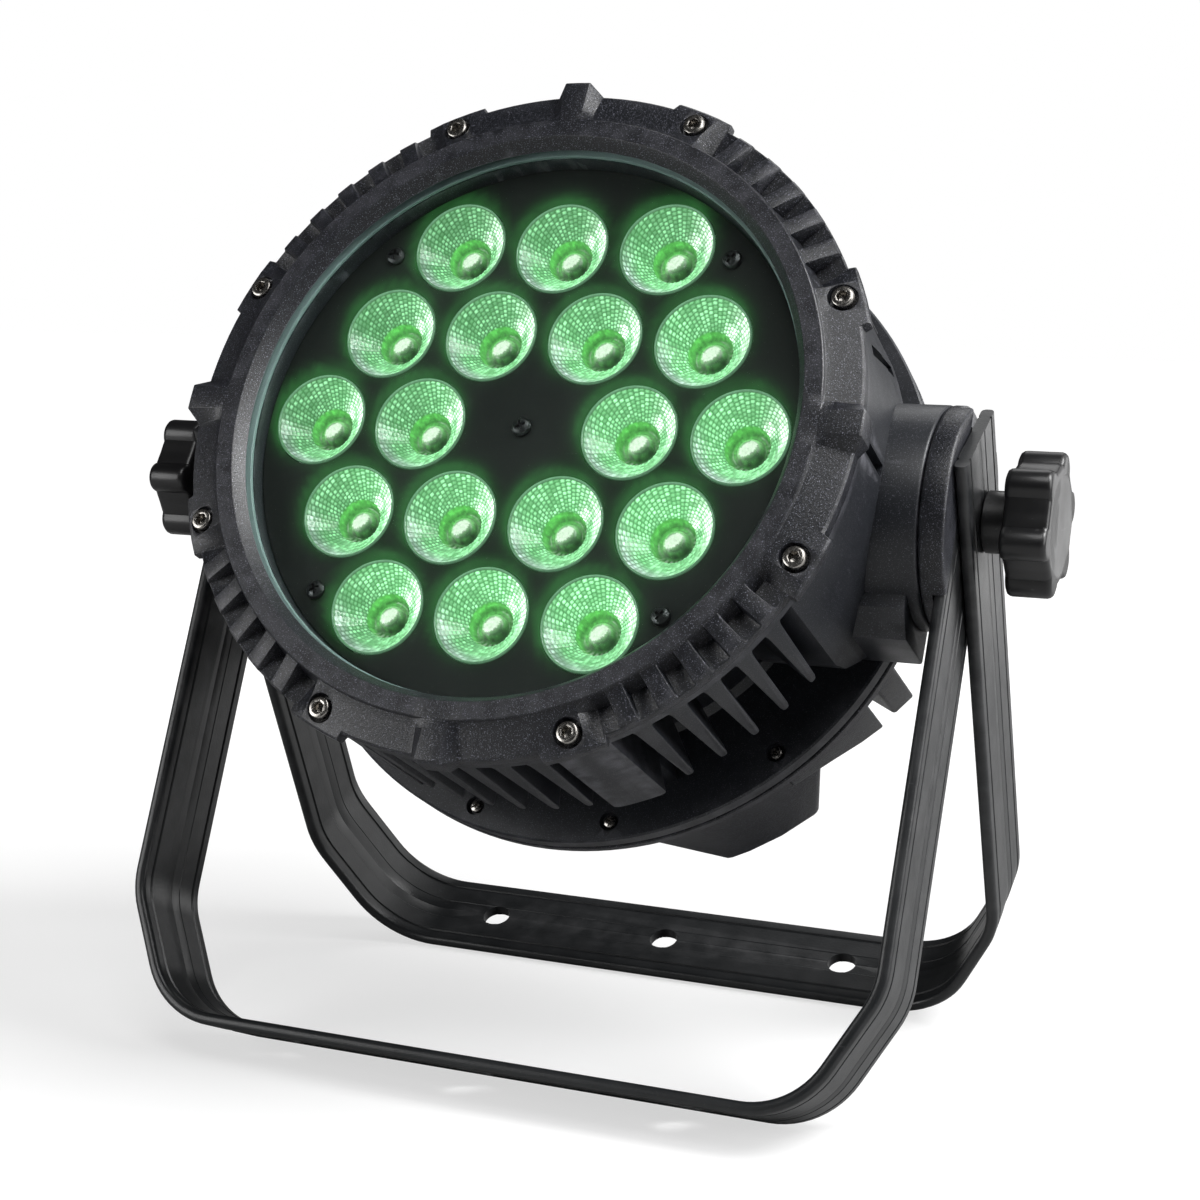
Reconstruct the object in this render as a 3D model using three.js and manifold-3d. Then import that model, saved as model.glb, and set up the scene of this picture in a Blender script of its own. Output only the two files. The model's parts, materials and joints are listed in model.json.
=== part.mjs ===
// Outdoor LED par can: a tilting cast head on a double yoke that opens as a floor stand.
// Millimetres, +Z up, the front faces -Y and the tilt axis runs along X.
// The origin is on the floor, under the middle of the object's box.
import * as THREE from 'three';
import { ConvexGeometry } from 'three/addons/geometries/ConvexGeometry.js';
import { mergeVertices } from 'three/addons/utils/BufferGeometryUtils.js';
import Module from 'manifold-3d';

const wasm = await Module();
wasm.setup();

// ---- driving dimensions ----------------------------------------------------------------
const GAP = 0.3;                 // clearance between touching pieces
const DEG = Math.PI / 180;
const ROUND = 40;                // facets of the large round shapes, which nest in each other
const ROUND_SMALL = 24;          // facets of the bosses, discs and collars

// Head, measured along its own axis from the tilt axis, forward positive.
const HEAD_TILT = 26.3 * DEG;    // front of the head above level
const BEZEL_FRONT = 88;
const BEZEL_BACK = 76;
const BEZEL_RADIUS = 136.5;
const BEZEL_EDGE = 82.6;         // front of the rim's outer edge, where the slope ends
const BEZEL_PAD_RADIUS = 139.5;  // wider rim at each bezel screw
const BEZEL_PAD_ANGLE = 5 * DEG;
const BAND_RADIUS = 122.8;       // raised flat band around the glass
const LIP_RADIUS = 112.5;        // clear opening over the glass
const GLASS_FRONT = 82;
const GLASS_THICKNESS = 4;
const GLASS_RADIUS = 116.5;
const SCREW_CIRCLE = 132;
const SCREW_COUNT = 8;
const SCREW_HEAD_TOP = 85;
const SCREW_SEAT = 80;
const SCREW_TIP = 63;
const SCREW_HOLE = 3;
const COUNTERBORE = 5.5;
const NOTCHES = 6;               // notches in the rim on each diagonal
const NOTCH_PITCH = 6.5 * DEG;
const NOTCH_WIDTH = 7;
const NOTCH_FLOOR = 79;
const LUG_WIDTH = 9.5;           // lugs at the top, bottom and sides of the rim
const LUG_REACH = 139.5;

const LENS_PITCH = 44.1;
const LENS_RADIUS = 19.3;
const LENS_RIM = 69.4;           // front of the lens rims
const LENS_DEPTH = 20;
const LENS_SIDES = 12;           // facets of a lens and of its hole
const PLATE_FRONT = 69;
const PLATE_THICKNESS = 2;
const PLATE_RADIUS = 111;
const PLATE_SCREW_CIRCLE = 101.5;
const BOARD_FRONT = 46.5;
const BOARD_RADIUS = 109;
const CHIP = 2.2;                // half width of an LED

const FLANGE_RADIUS = 135.8;     // front flange of the housing, behind the bezel
const FLANGE_BACK = 70.5;
const DRUM_RADIUS = 135.3;       // over the fins and panels
const CORE_RADIUS = 115;         // root of the fins around the lens chamber
const CORE_BACK_RADIUS = 100;    // root of the fins behind the lens chamber
const CHAMBER_RADIUS = 111.6;    // lens and LED chamber inside the housing
const CHAMBER_FLOOR = 44;
const FLOOR = 5;
const HOLLOW_RADIUS = 95;        // open hollow behind the chamber floor
const FIN_BACK = 11.5;
const FIN_PITCH = 6.25 * DEG;    // fins on the diagonals
const BAR_PITCH = 5.92 * DEG;    // fins at the top and the bottom
const FIN_ROOT_WIDTH = 6.8;
const FIN_TIP_WIDTH = 3.2;
const PANEL_BACK = 4;
const PANEL_HALF_ANGLE = 4.6 * DEG;
const REAR_FLANGE_FRONT = -21;
const REAR_FLANGE_BACK = -29;
const REAR_FLANGE_RADIUS = 140;
const COVER_BACK = -86;
const COVER_FRONT = REAR_FLANGE_BACK - 2;
const COVER_RADIUS = 139;        // over the corner lobes
const COVER_CORE = 112;
const COVER_WALL = 4;
const COVER_RIM = 5;
const LOBE_FRONT = [38, 73];
const LOBE_BACK = [46, 64.5];
const LOBE_ROOT = 100;
const COVER_TABS = [[20.5, 25.5, -75], [28.5, 34, -63], [34, 40, -54], [40, 46.5, -46]];

// Back of the head: display with its buttons, a row of sockets, a vent and a safety eye.
const PANEL_CENTRE = 34;
const PANEL_HALF = [46, 27];
const PANEL_FACE = COVER_BACK - GAP - 2.4;
const BUTTON_HALF = 4.5;
const BUTTON_ROW = PANEL_CENTRE - 16;
const BUTTON_PITCH = 19;
const SOCKET_ROW = -38;
const SOCKET_PITCH = 42;
const DATA_SOCKET = 10;
const POWER_SOCKET = 12;
const VENT_HEIGHT = -82;
const EYE_HEIGHT = 84;

// Trunnions, measured along X from the middle.
const BOSS_RADIUS = 43.5;
const BOSS_INNER = 118;          // the bosses run past the rear flange outside this radius
const BOSS_END = 150.9;
const DISC_START = 151.3;
const DISC_END = 161.2;
const STUD_RADIUS = 5;
const STUD_BORE = STUD_RADIUS + 0.4;
const STUD_START = 116;
const STUD_END = 187;

// Yokes: flat strip bent to a U with chamfered corners.
const STRIP_WIDTH = 45;
const STRIP = 5;
const YOKE_HALF_WIDTH = 161.2;   // outer face of the front yoke's legs
const YOKE_DROP = 236.5;         // tilt axis to the outer face of the crossbar
const YOKE_KNEE = 186;           // tilt axis to the first bend of the leg
const KNEE_ANGLE = 27.4 * DEG;
const CORNER_RADIUS = 37;
const FRONT_SPLAY = 22.7 * DEG;
const NEST = STRIP + 0.4;        // the rear yoke lies this far outside the front one
const LEG_TOP_FRONT = 30;
const LEG_TOP_REAR = 36;
const MOUNT_HOLE = 6.5;
const MOUNT_HOLE_PITCH = 87;

// Knobs.
const KNOB_RADIUS = 28;
const KNOB_VALLEY = 22.6;
const KNOB_LOBES = 6;
const KNOB_TURN_RIGHT = -15;     // degrees about X
const KNOB_TURN_LEFT = 27;
const KNOB_POINTS = 48;
const KNOB_START = 177.3;
const KNOB_END = 195;
const COLLAR_RADIUS = 12;

// The yokes stand on the inner lower edges of their crossbars.
const PIVOT_HEIGHT = YOKE_DROP * Math.cos(FRONT_SPLAY) + STRIP_WIDTH / 2 * Math.sin(FRONT_SPLAY);
const REAR_DROP = YOKE_DROP + NEST;
const REAR_SPLAY = Math.atan2(STRIP_WIDTH / 2, REAR_DROP)
  + Math.acos(PIVOT_HEIGHT / Math.hypot(REAR_DROP, STRIP_WIDTH / 2));

// ---- materials -------------------------------------------------------------------------
const finish = (color, roughness, metalness, extra = {}) =>
  new THREE.MeshStandardMaterial({ color, roughness, metalness, ...extra });
const CAST = finish(0x1d1e21, 0.55, 0.5);
const STRIP_FINISH = finish(0x1a1b1d, 0.45, 0.5);
const GLASS = finish(0xcfe4da, 0.05, 0, { transparent: true, opacity: 0.25 });
const LENS = finish(0x8cf0a0, 0.1, 0);
const BLACK_PLATE = finish(0x101112, 0.5, 0);
const BOARD = finish(0xe8e8e4, 0.6, 0);
const STEEL = finish(0xb9bcbf, 0.3, 1);
const DARK_STEEL = finish(0x2a2a2c, 0.4, 0.9);
const RUBBER = finish(0x141414, 0.8, 0);
const KNOB_PLASTIC = finish(0x0c0c0d, 0.2, 0);
const PANEL_PLASTIC = finish(0x17191c, 0.4, 0);
const BUTTON_PLASTIC = finish(0x45484c, 0.5, 0);

// ---- solids ----------------------------------------------------------------------------
function solid(geometry) {
  const bare = geometry.clone();
  bare.deleteAttribute('normal');
  bare.deleteAttribute('uv');
  const merged = mergeVertices(bare, 1e-4);
  const index = merged.index.array;
  const triVerts = [];
  for (let i = 0; i < index.length; i += 3) {
    const [a, b, c] = [index[i], index[i + 1], index[i + 2]];
    if (a !== b && b !== c && c !== a) triVerts.push(a, b, c);
  }
  return new wasm.Manifold(new wasm.Mesh({
    numProp: 3,
    vertProperties: new Float32Array(merged.attributes.position.array),
    triVerts: new Uint32Array(triVerts),
  }));
}

function piece(parent, name, shape, material) {
  const { vertProperties, triVerts } = shape.getMesh();
  const geometry = new THREE.BufferGeometry();
  geometry.setAttribute('position', new THREE.BufferAttribute(vertProperties, 3));
  geometry.setIndex(new THREE.BufferAttribute(triVerts, 1));
  geometry.computeVertexNormals();
  const mesh = new THREE.Mesh(geometry, material);
  mesh.name = name;
  parent.add(mesh);
  return mesh;
}

const union = (shapes) => shapes.reduce((a, b) => a.add(b));
const cut = (shape, tools) => tools.reduce((a, b) => a.subtract(b), shape);

// A turned solid about Z. The profile is [radius, z] pairs, counterclockwise.
function turned(profile, segments = ROUND) {
  const points = profile.map(([r, z]) => new THREE.Vector2(r, z));
  const onAxis = profile[0][0] === 0 && profile.at(-1)[0] === 0;
  if (!onAxis) points.push(points[0].clone());
  const geometry = new THREE.LatheGeometry(points, segments);
  geometry.rotateX(Math.PI / 2);
  return solid(geometry);
}

function cylinder(radius, z0, z1, segments = ROUND) {
  return turned([[0, z0], [radius, z0], [radius, z1], [0, z1]], segments);
}

// A flat outline in XY, extruded along Z from z0 to z1.
function plate(points, z0, z1) {
  const shape = new THREE.Shape(points.map(([x, y]) => new THREE.Vector2(x, y)));
  const geometry = new THREE.ExtrudeGeometry(shape, { depth: z1 - z0, bevelEnabled: false });
  geometry.translate(0, 0, z0);
  return solid(geometry);
}

function box(x0, x1, y0, y1, z0, z1) {
  const geometry = new THREE.BoxGeometry(x1 - x0, y1 - y0, z1 - z0);
  geometry.translate((x0 + x1) / 2, (y0 + y1) / 2, (z0 + z1) / 2);
  return solid(geometry);
}

// A sector of a tube about Z, between two angles.
function sector(r0, r1, angle0, angle1, z0, z1, steps = 3) {
  const arc = (r, from, to) => Array.from({ length: steps + 1 }, (_, i) => {
    const angle = from + (to - from) * i / steps;
    return [r * Math.cos(angle), r * Math.sin(angle)];
  });
  return plate([...arc(r1, angle0, angle1), ...arc(r0, angle1, angle0)], z0, z1);
}

const aboutZ = (shape, angle) => shape.rotate([0, 0, angle / DEG]);
const alongX = (shape) => shape.rotate([0, 90, 0]);
const polar = (radius, angle) => [radius * Math.cos(angle), radius * Math.sin(angle)];
const screwAngle = (i) => (i + 0.5) * 2 * Math.PI / SCREW_COUNT;

// ---- head ------------------------------------------------------------------------------
function bezelRing() {
  const pocket = GLASS_FRONT + GAP;
  const ring = turned([
    [GLASS_RADIUS + GAP, BEZEL_BACK], [BEZEL_RADIUS, BEZEL_BACK], [BEZEL_RADIUS, BEZEL_EDGE - 1],
    [BEZEL_RADIUS - 1, BEZEL_EDGE], [BAND_RADIUS + 0.4, 86.6], [BAND_RADIUS, BEZEL_FRONT],
    [LIP_RADIUS + 3, BEZEL_FRONT], [LIP_RADIUS, pocket], [GLASS_RADIUS + GAP, pocket],
  ]);
  const added = [];
  const removed = [];
  for (let i = 0; i < SCREW_COUNT; i++) {
    const angle = screwAngle(i);
    added.push(sector(BEZEL_RADIUS - 6, BEZEL_PAD_RADIUS, angle - BEZEL_PAD_ANGLE,
      angle + BEZEL_PAD_ANGLE, BEZEL_BACK, BEZEL_EDGE - 0.4));
    const [x, y] = polar(SCREW_CIRCLE, angle);
    removed.push(cylinder(COUNTERBORE, SCREW_SEAT, BEZEL_FRONT + 1, 10).translate([x, y, 0]));
    removed.push(cylinder(SCREW_HOLE, BEZEL_BACK - 1, SCREW_SEAT + 1, 6).translate([x, y, 0]));
  }
  for (let quarter = 0; quarter < 4; quarter++) {
    added.push(aboutZ(lug(), quarter * Math.PI / 2));
    for (let n = 0; n < NOTCHES; n++) {
      const angle = (quarter + 0.5) * Math.PI / 2 + (n - (NOTCHES - 1) / 2) * NOTCH_PITCH;
      removed.push(aboutZ(notch(), angle));
    }
  }
  return cut(union([ring, ...added]), removed);
}

// Radial slot in the sloping rim: a steep inner wall and a floor that faces forward.
function notch() {
  const outline = [[BAND_RADIUS + 0.2, BEZEL_FRONT + 1], [BAND_RADIUS + 0.2, 86.4],
    [BAND_RADIUS + 4, NOTCH_FLOOR], [BEZEL_PAD_RADIUS + 2, NOTCH_FLOOR],
    [BEZEL_PAD_RADIUS + 2, BEZEL_FRONT + 1]];
  const slot = plate(outline, -NOTCH_WIDTH / 2, NOTCH_WIDTH / 2);
  return slot.rotate([90, 0, 0]);
}

// Square lug flush with the raised band, with sloping flanks.
function lug() {
  const half = LUG_WIDTH / 2;
  const foot = half + 5;
  const outline = [[-foot, BEZEL_BACK + 3], [foot, BEZEL_BACK + 3], [half, BEZEL_FRONT],
    [-half, BEZEL_FRONT]];
  const bar = plate(outline, BAND_RADIUS - 2, LUG_REACH);
  return bar.rotate([90, 0, 0]).rotate([0, 0, 90]);
}

function socketScrew(headRadius, headTop, headHeight, shankRadius, shankEnd) {
  const seat = headTop - headHeight;
  const screw = turned([[0, shankEnd], [shankRadius, shankEnd], [shankRadius, seat],
    [headRadius, seat], [headRadius, headTop], [0, headTop]], 10);
  return screw.subtract(cylinder(headRadius * 0.47, headTop - headHeight * 0.55, headTop + 1, 6));
}

function lensCentres() {
  const rowHeight = LENS_PITCH * Math.sqrt(3) / 2;
  const centres = [];
  for (let row = 2; row >= -2; row--) {
    const count = 5 - Math.abs(row);
    for (let i = 0; i < count; i++) {
      const x = (i - (count - 1) / 2) * LENS_PITCH;
      if (row !== 0 || x !== 0) centres.push([x, row * rowHeight]);
    }
  }
  return centres;
}

const plateScrews = [[0, 0], ...[1, 3, 5, 7].map((k) => polar(PLATE_SCREW_CIRCLE, k * 45 * DEG))];

function lensPlate() {
  const back = PLATE_FRONT - PLATE_THICKNESS;
  const blank = cylinder(PLATE_RADIUS, back, PLATE_FRONT);
  const hole = cylinder(LENS_RADIUS + GAP, back - 1, PLATE_FRONT + 1, LENS_SIDES);
  const screwHole = cylinder(2.3, back - 1, PLATE_FRONT + 1, 8);
  return cut(blank, [
    ...lensCentres().map(([x, y]) => hole.translate([x, y, 0])),
    ...plateScrews.map(([x, y]) => screwHole.translate([x, y, 0])),
  ]);
}

// Collimator: a dished cup that sits over its LED.
function lens() {
  const base = LENS_RIM - LENS_DEPTH;
  return turned([[0, base], [6.5, base], [LENS_RADIUS, LENS_RIM - 1.6], [LENS_RADIUS, LENS_RIM],
    [6.4, LENS_RIM - 6], [0, LENS_RIM - 6]], LENS_SIDES);
}

function ledBoard() {
  const board = cylinder(BOARD_RADIUS, BOARD_FRONT - 2, BOARD_FRONT, ROUND_SMALL);
  const chip = box(-CHIP, CHIP, -CHIP, CHIP, BOARD_FRONT - 1, BOARD_FRONT + 1.6);
  const chips = lensCentres().map(([x, y]) => chip.translate([x, y, 0]));
  const standoffs = plateScrews.map(([x, y]) =>
    cylinder(4, BOARD_FRONT - 1, PLATE_FRONT - PLATE_THICKNESS - GAP, 8).translate([x, y, 0]));
  const bores = plateScrews.map(([x, y]) => cylinder(2, 55, 80, 8).translate([x, y, 0]));
  return cut(union([board, ...chips, ...standoffs]), bores);
}

function fin() {
  const root = FIN_ROOT_WIDTH / 2;
  const tip = FIN_TIP_WIDTH / 2;
  const wedge = plate([[-root, FLANGE_BACK + 1], [-tip, FIN_BACK], [tip, FIN_BACK],
    [root, FLANGE_BACK + 1]], CORE_BACK_RADIUS - 4, DRUM_RADIUS);
  return wedge.rotate([90, 0, 0]).rotate([0, 0, 90]);
}

function finAngles() {
  const angles = [];
  for (let quarter = 0; quarter < 4; quarter++) {
    const diagonal = (quarter + 0.5) * 90 * DEG;
    for (let n = -2; n <= 2; n++) angles.push(diagonal + n * FIN_PITCH);
  }
  for (const middle of [90 * DEG, 270 * DEG]) {
    for (let n = 0; n < 6; n++) angles.push(middle + (n - 2.5) * BAR_PITCH);
  }
  return angles;
}

// Side arm that carries the trunnion boss; it fills the drum's side between two panels.
function arm() {
  const outline = [[FLANGE_BACK + 1, 63], [20, 43], [-12, 40], [REAR_FLANGE_FRONT - 1, 30],
    [REAR_FLANGE_FRONT - 1, -44], [-12, -56], [-4, -62], [6, -64], [FLANGE_BACK + 1, -64]];
  const blank = plate(outline.map(([z, y]) => [-z, y]), CORE_BACK_RADIUS - 12, 136);
  const side = alongX(blank);
  return side.intersect(cylinder(DRUM_RADIUS + 0.4, REAR_FLANGE_FRONT - 2, FLANGE_BACK + 2));
}

function housing() {
  const back = REAR_FLANGE_BACK;
  const body = turned([
    [HOLLOW_RADIUS, back], [REAR_FLANGE_RADIUS, back], [REAR_FLANGE_RADIUS, REAR_FLANGE_FRONT],
    [CORE_BACK_RADIUS, REAR_FLANGE_FRONT], [CORE_BACK_RADIUS, 30], [CORE_RADIUS, 36],
    [CORE_RADIUS, FLANGE_BACK], [FLANGE_RADIUS, FLANGE_BACK], [FLANGE_RADIUS, BEZEL_BACK - GAP],
    [CHAMBER_RADIUS, BEZEL_BACK - GAP], [CHAMBER_RADIUS, CHAMBER_FLOOR],
    [0, CHAMBER_FLOOR], [0, CHAMBER_FLOOR - FLOOR], [HOLLOW_RADIUS, CHAMBER_FLOOR - FLOOR],
  ]);
  const added = finAngles().map((angle) => aboutZ(fin(), angle));
  const removed = [];
  for (let i = 0; i < SCREW_COUNT; i++) {
    const angle = screwAngle(i);
    const from = angle - PANEL_HALF_ANGLE;
    const to = angle + PANEL_HALF_ANGLE;
    added.push(sector(CORE_BACK_RADIUS - 4, DRUM_RADIUS, from, to, PANEL_BACK, FLANGE_BACK + 1));
    added.push(sector(CORE_BACK_RADIUS - 4, 122, from, to, REAR_FLANGE_FRONT - 1, PANEL_BACK + 1));
    const [x, y] = polar(SCREW_CIRCLE, angle);
    removed.push(cylinder(SCREW_HOLE, SCREW_TIP - 3, BEZEL_BACK + 1, 6).translate([x, y, 0]));
  }
  const boss = alongX(cylinder(BOSS_RADIUS, 94, BOSS_END, ROUND_SMALL));
  const bore = alongX(cylinder(STUD_BORE, STUD_START - 3, BOSS_END + 1, 16));
  const footOutline = [[20, -36], [19, -44], [9, -53], [-20, -53], [-20, -36]];
  const foot = alongX(plate(footOutline.map(([z, y]) => [-z, y]), 110, 146));
  const side = union([arm(), boss, foot]);
  const slots = sideSlots();
  added.push(side, side.mirror([1, 0, 0]));
  removed.push(bore, bore.mirror([1, 0, 0]), slots, slots.mirror([1, 0, 0]));
  // Behind the rear flange only the outer part of each boss remains, beside the cover.
  removed.push(cylinder(BOSS_INNER, REAR_FLANGE_BACK - 30, REAR_FLANGE_BACK));
  removed.push(cylinder(CHAMBER_RADIUS, CHAMBER_FLOOR, BEZEL_BACK + 1));
  removed.push(cylinder(HOLLOW_RADIUS, REAR_FLANGE_BACK - 20, CHAMBER_FLOOR - FLOOR));
  return cut(union([body, ...added]), removed);
}

// Two shallow grooves in the outer face of the side arm.
function sideSlots() {
  const upper = box(121, 150, -2, 2, 12, 62).rotate([16, 0, 0]).translate([0, 58, 2]);
  const lower = box(129, 150, -2.5, 2.5, 44, 68);
  return upper.add(lower);
}

// ---- rear of the head ------------------------------------------------------------------
const buttonPlaces = [0, 1, 2, 3].map((i) => [(i - 1.5) * BUTTON_PITCH, BUTTON_ROW]);

// Room in the cover and its gasket for the outer part of each trunnion boss.
function bossRooms() {
  const kept = cylinder(BOSS_INNER - GAP, COVER_BACK, BEZEL_BACK);
  const room = alongX(cylinder(BOSS_RADIUS + 0.6, 90, 160, ROUND_SMALL)).subtract(kept);
  return [room, room.mirror([1, 0, 0])];
}

// The four mirror images of a span of angles, in degrees.
const QUARTERS = [
  (from, to) => [from, to], (from, to) => [180 - to, 180 - from],
  (from, to) => [180 + from, 180 + to], (from, to) => [360 - to, 360 - from],
];

// Raised corner of the cover, narrower at its back; `inset` draws it in on all sides.
function lobe(mirrored, inset, back, front) {
  const points = [];
  for (const [[from, to], z] of [[LOBE_BACK, back], [LOBE_FRONT, front]]) {
    const margin = inset / COVER_RADIUS / DEG;
    const [a, b] = mirrored(from + margin, to - margin);
    for (let i = 0; i <= 4; i++) {
      const angle = (a + (b - a) * i / 4) * DEG;
      for (const radius of [LOBE_ROOT, COVER_RADIUS - inset]) {
        points.push(new THREE.Vector3(...polar(radius, angle), z));
      }
    }
  }
  return solid(new ConvexGeometry(points));
}

function rearCover() {
  const shell = turned([
    [0, COVER_BACK], [COVER_CORE - 3, COVER_BACK], [COVER_CORE, COVER_BACK + 3],
    [COVER_CORE, COVER_FRONT - COVER_RIM], [REAR_FLANGE_RADIUS, COVER_FRONT - COVER_RIM],
    [REAR_FLANGE_RADIUS, COVER_FRONT], [COVER_CORE - COVER_WALL, COVER_FRONT],
    [COVER_CORE - COVER_WALL, COVER_BACK + COVER_WALL], [0, COVER_BACK + COVER_WALL],
  ]);
  const added = [];
  const hollows = [];
  for (const mirrored of QUARTERS) {
    added.push(lobe(mirrored, 0, COVER_BACK, COVER_FRONT - 1));
    hollows.push(lobe(mirrored, COVER_WALL, COVER_BACK + COVER_WALL, COVER_FRONT - COVER_RIM));
    for (const [from, to, back] of COVER_TABS) {
      const [a, b] = mirrored(from, to);
      added.push(sector(COVER_CORE - 4, COVER_RADIUS, a * DEG, b * DEG, back, COVER_FRONT - 1));
    }
  }
  const inside = cylinder(COVER_CORE - COVER_WALL, COVER_BACK + COVER_WALL, COVER_FRONT + 1);
  const pockets = buttonPlaces.map(([x, y]) => box(x - 5.2, x + 5.2, y - 5.2, y + 5.2,
    COVER_BACK - 1, COVER_BACK + 3));
  return cut(union([shell, ...added]), [inside, ...hollows, ...bossRooms(), ...pockets]);
}

function rearGasket() {
  const ring = turned([[COVER_CORE - 2, COVER_FRONT + GAP], [REAR_FLANGE_RADIUS - 3, COVER_FRONT + GAP],
    [REAR_FLANGE_RADIUS - 3, REAR_FLANGE_BACK - GAP], [COVER_CORE - 2, REAR_FLANGE_BACK - GAP]]);
  return cut(ring, bossRooms());
}

function displayPanel() {
  const [w, h] = PANEL_HALF;
  const blank = box(-w, w, PANEL_CENTRE - h, PANEL_CENTRE + h, PANEL_FACE, COVER_BACK - GAP);
  const holes = buttonPlaces.map(([x, y]) => box(x - 4.9, x + 4.9, y - 4.9, y + 4.9,
    PANEL_FACE - 1, COVER_BACK + 1));
  const window = box(-26, 26, PANEL_CENTRE - 4, PANEL_CENTRE + 18, PANEL_FACE - 1,
    PANEL_FACE + 0.8);
  return cut(blank, [...holes, window]);
}

function button() {
  const front = COVER_BACK + 1.7;
  const back = PANEL_FACE - 2;
  return box(-BUTTON_HALF, BUTTON_HALF, -BUTTON_HALF, BUTTON_HALF, back, front);
}

function socket(radius) {
  const back = COVER_BACK - 17;
  const face = COVER_BACK - GAP;
  return turned([[0, back + 9], [radius - 2.5, back + 9], [radius - 2.5, back], [radius, back],
    [radius, face - 3], [radius + 3, face - 3], [radius + 3, face], [0, face]], 16);
}

function ventPlug() {
  const face = COVER_BACK - GAP;
  return turned([[0, face - 6], [5, face - 6], [6, face - 5], [6, face - 2.5], [8, face - 2.5],
    [8, face], [0, face]], 12);
}

function safetyEye() {
  const face = COVER_BACK - GAP;
  const middle = face - 12;
  const loop = alongX(cylinder(11, -3, 3, 24)).translate([0, 0, middle]);
  const hole = alongX(cylinder(6, -4, 4, 20)).translate([0, 0, middle]);
  const stem = box(-3, 3, -5, 5, middle + 7, face - 1);
  const foot = box(-8, 8, -10, 10, face - 3, face);
  return union([loop, stem, foot]).subtract(hole);
}

// ---- yokes, discs and knobs ------------------------------------------------------------
// Right half of a bent strip's edge, `out` mm outside the front yoke's outer face:
// leg, first bend, diagonal, round corner. Points are [x, distance below the tilt axis].
function halfPath(out, legTop) {
  const centreDrop = YOKE_DROP - CORNER_RADIUS;
  const rise = (centreDrop - YOKE_KNEE) * Math.sin(KNEE_ANGLE);
  const centreX = YOKE_HALF_WIDTH - (CORNER_RADIUS + rise) / Math.cos(KNEE_ANGLE);
  const points = [[YOKE_HALF_WIDTH + out, -legTop],
    [YOKE_HALF_WIDTH + out, YOKE_KNEE + out * Math.tan(KNEE_ANGLE / 2)]];
  const steps = 6;
  for (let i = 0; i <= steps; i++) {
    const angle = KNEE_ANGLE + (Math.PI / 2 - KNEE_ANGLE) * i / steps;
    const radius = CORNER_RADIUS + out;
    points.push([centreX + radius * Math.cos(angle), centreDrop + radius * Math.sin(angle)]);
  }
  return points;
}

function yoke(out, legTop) {
  const right = (offset) => halfPath(offset, legTop).map(([x, drop]) => [x, -drop]);
  const left = (offset) => right(offset).map(([x, y]) => [-x, y]).reverse();
  const outer = [...right(out), ...left(out)];
  const inner = [...right(out - STRIP), ...left(out - STRIP)].reverse();
  const strip = plate([...outer, ...inner], -STRIP_WIDTH / 2, STRIP_WIDTH / 2);
  const top = YOKE_DROP + out - STRIP - 1;
  const mountHole = cylinder(MOUNT_HOLE, top, top + STRIP + 2, 16).rotate([90, 0, 0]);
  const holes = [-1, 0, 1].map((i) => mountHole.translate([i * MOUNT_HOLE_PITCH, 0, 0]));
  const pivotHole = alongX(cylinder(STUD_BORE, YOKE_HALF_WIDTH - 10, 175, 12));
  return cut(strip, [...holes, pivotHole, pivotHole.mirror([1, 0, 0])]);
}

function trunnionDisc() {
  const half = STRIP_WIDTH / 2 + GAP;
  const blank = alongX(turned([[0, DISC_START], [BOSS_RADIUS, DISC_START],
    [BOSS_RADIUS, DISC_END - 1.5], [BOSS_RADIUS - 1.5, DISC_END], [0, DISC_END]], ROUND_SMALL));
  const slot = box(YOKE_HALF_WIDTH - STRIP - GAP, DISC_END + 1, -60, 60, -half, half);
  const bore = alongX(cylinder(STUD_BORE, DISC_START - 1, DISC_END + 1, 12));
  return cut(blank, [slot, bore]);
}

function knob() {
  const middle = (KNOB_RADIUS + KNOB_VALLEY) / 2;
  const swing = (KNOB_RADIUS - KNOB_VALLEY) / 2;
  const points = Array.from({ length: KNOB_POINTS }, (_, i) => {
    const angle = i * 2 * Math.PI / KNOB_POINTS;
    return polar(middle + swing * Math.cos(KNOB_LOBES * angle), angle);
  });
  const body = plate(points, KNOB_START, KNOB_END);
  const start = YOKE_HALF_WIDTH + NEST + GAP;
  const collar = cylinder(COLLAR_RADIUS, start, KNOB_START + 1, 24);
  const bore = cylinder(STUD_RADIUS + GAP, start - 1, STUD_END + 1, 12);
  const dish = cylinder(17, KNOB_END - 0.8, KNOB_END + 1, 24);
  return alongX(cut(body.add(collar), [bore, dish]));
}

// ---- assembly --------------------------------------------------------------------------
const lamp = new THREE.Group();
const pivot = new THREE.Group();
pivot.position.set(0, 0, PIVOT_HEIGHT);
lamp.add(pivot);

const head = new THREE.Group();
head.rotation.x = Math.PI / 2 - HEAD_TILT;
const front = new THREE.Group();
front.rotation.x = Math.PI / 2 - FRONT_SPLAY;
const rear = new THREE.Group();
rear.rotation.x = Math.PI / 2 + REAR_SPLAY;
pivot.add(head, front, rear);

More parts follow.
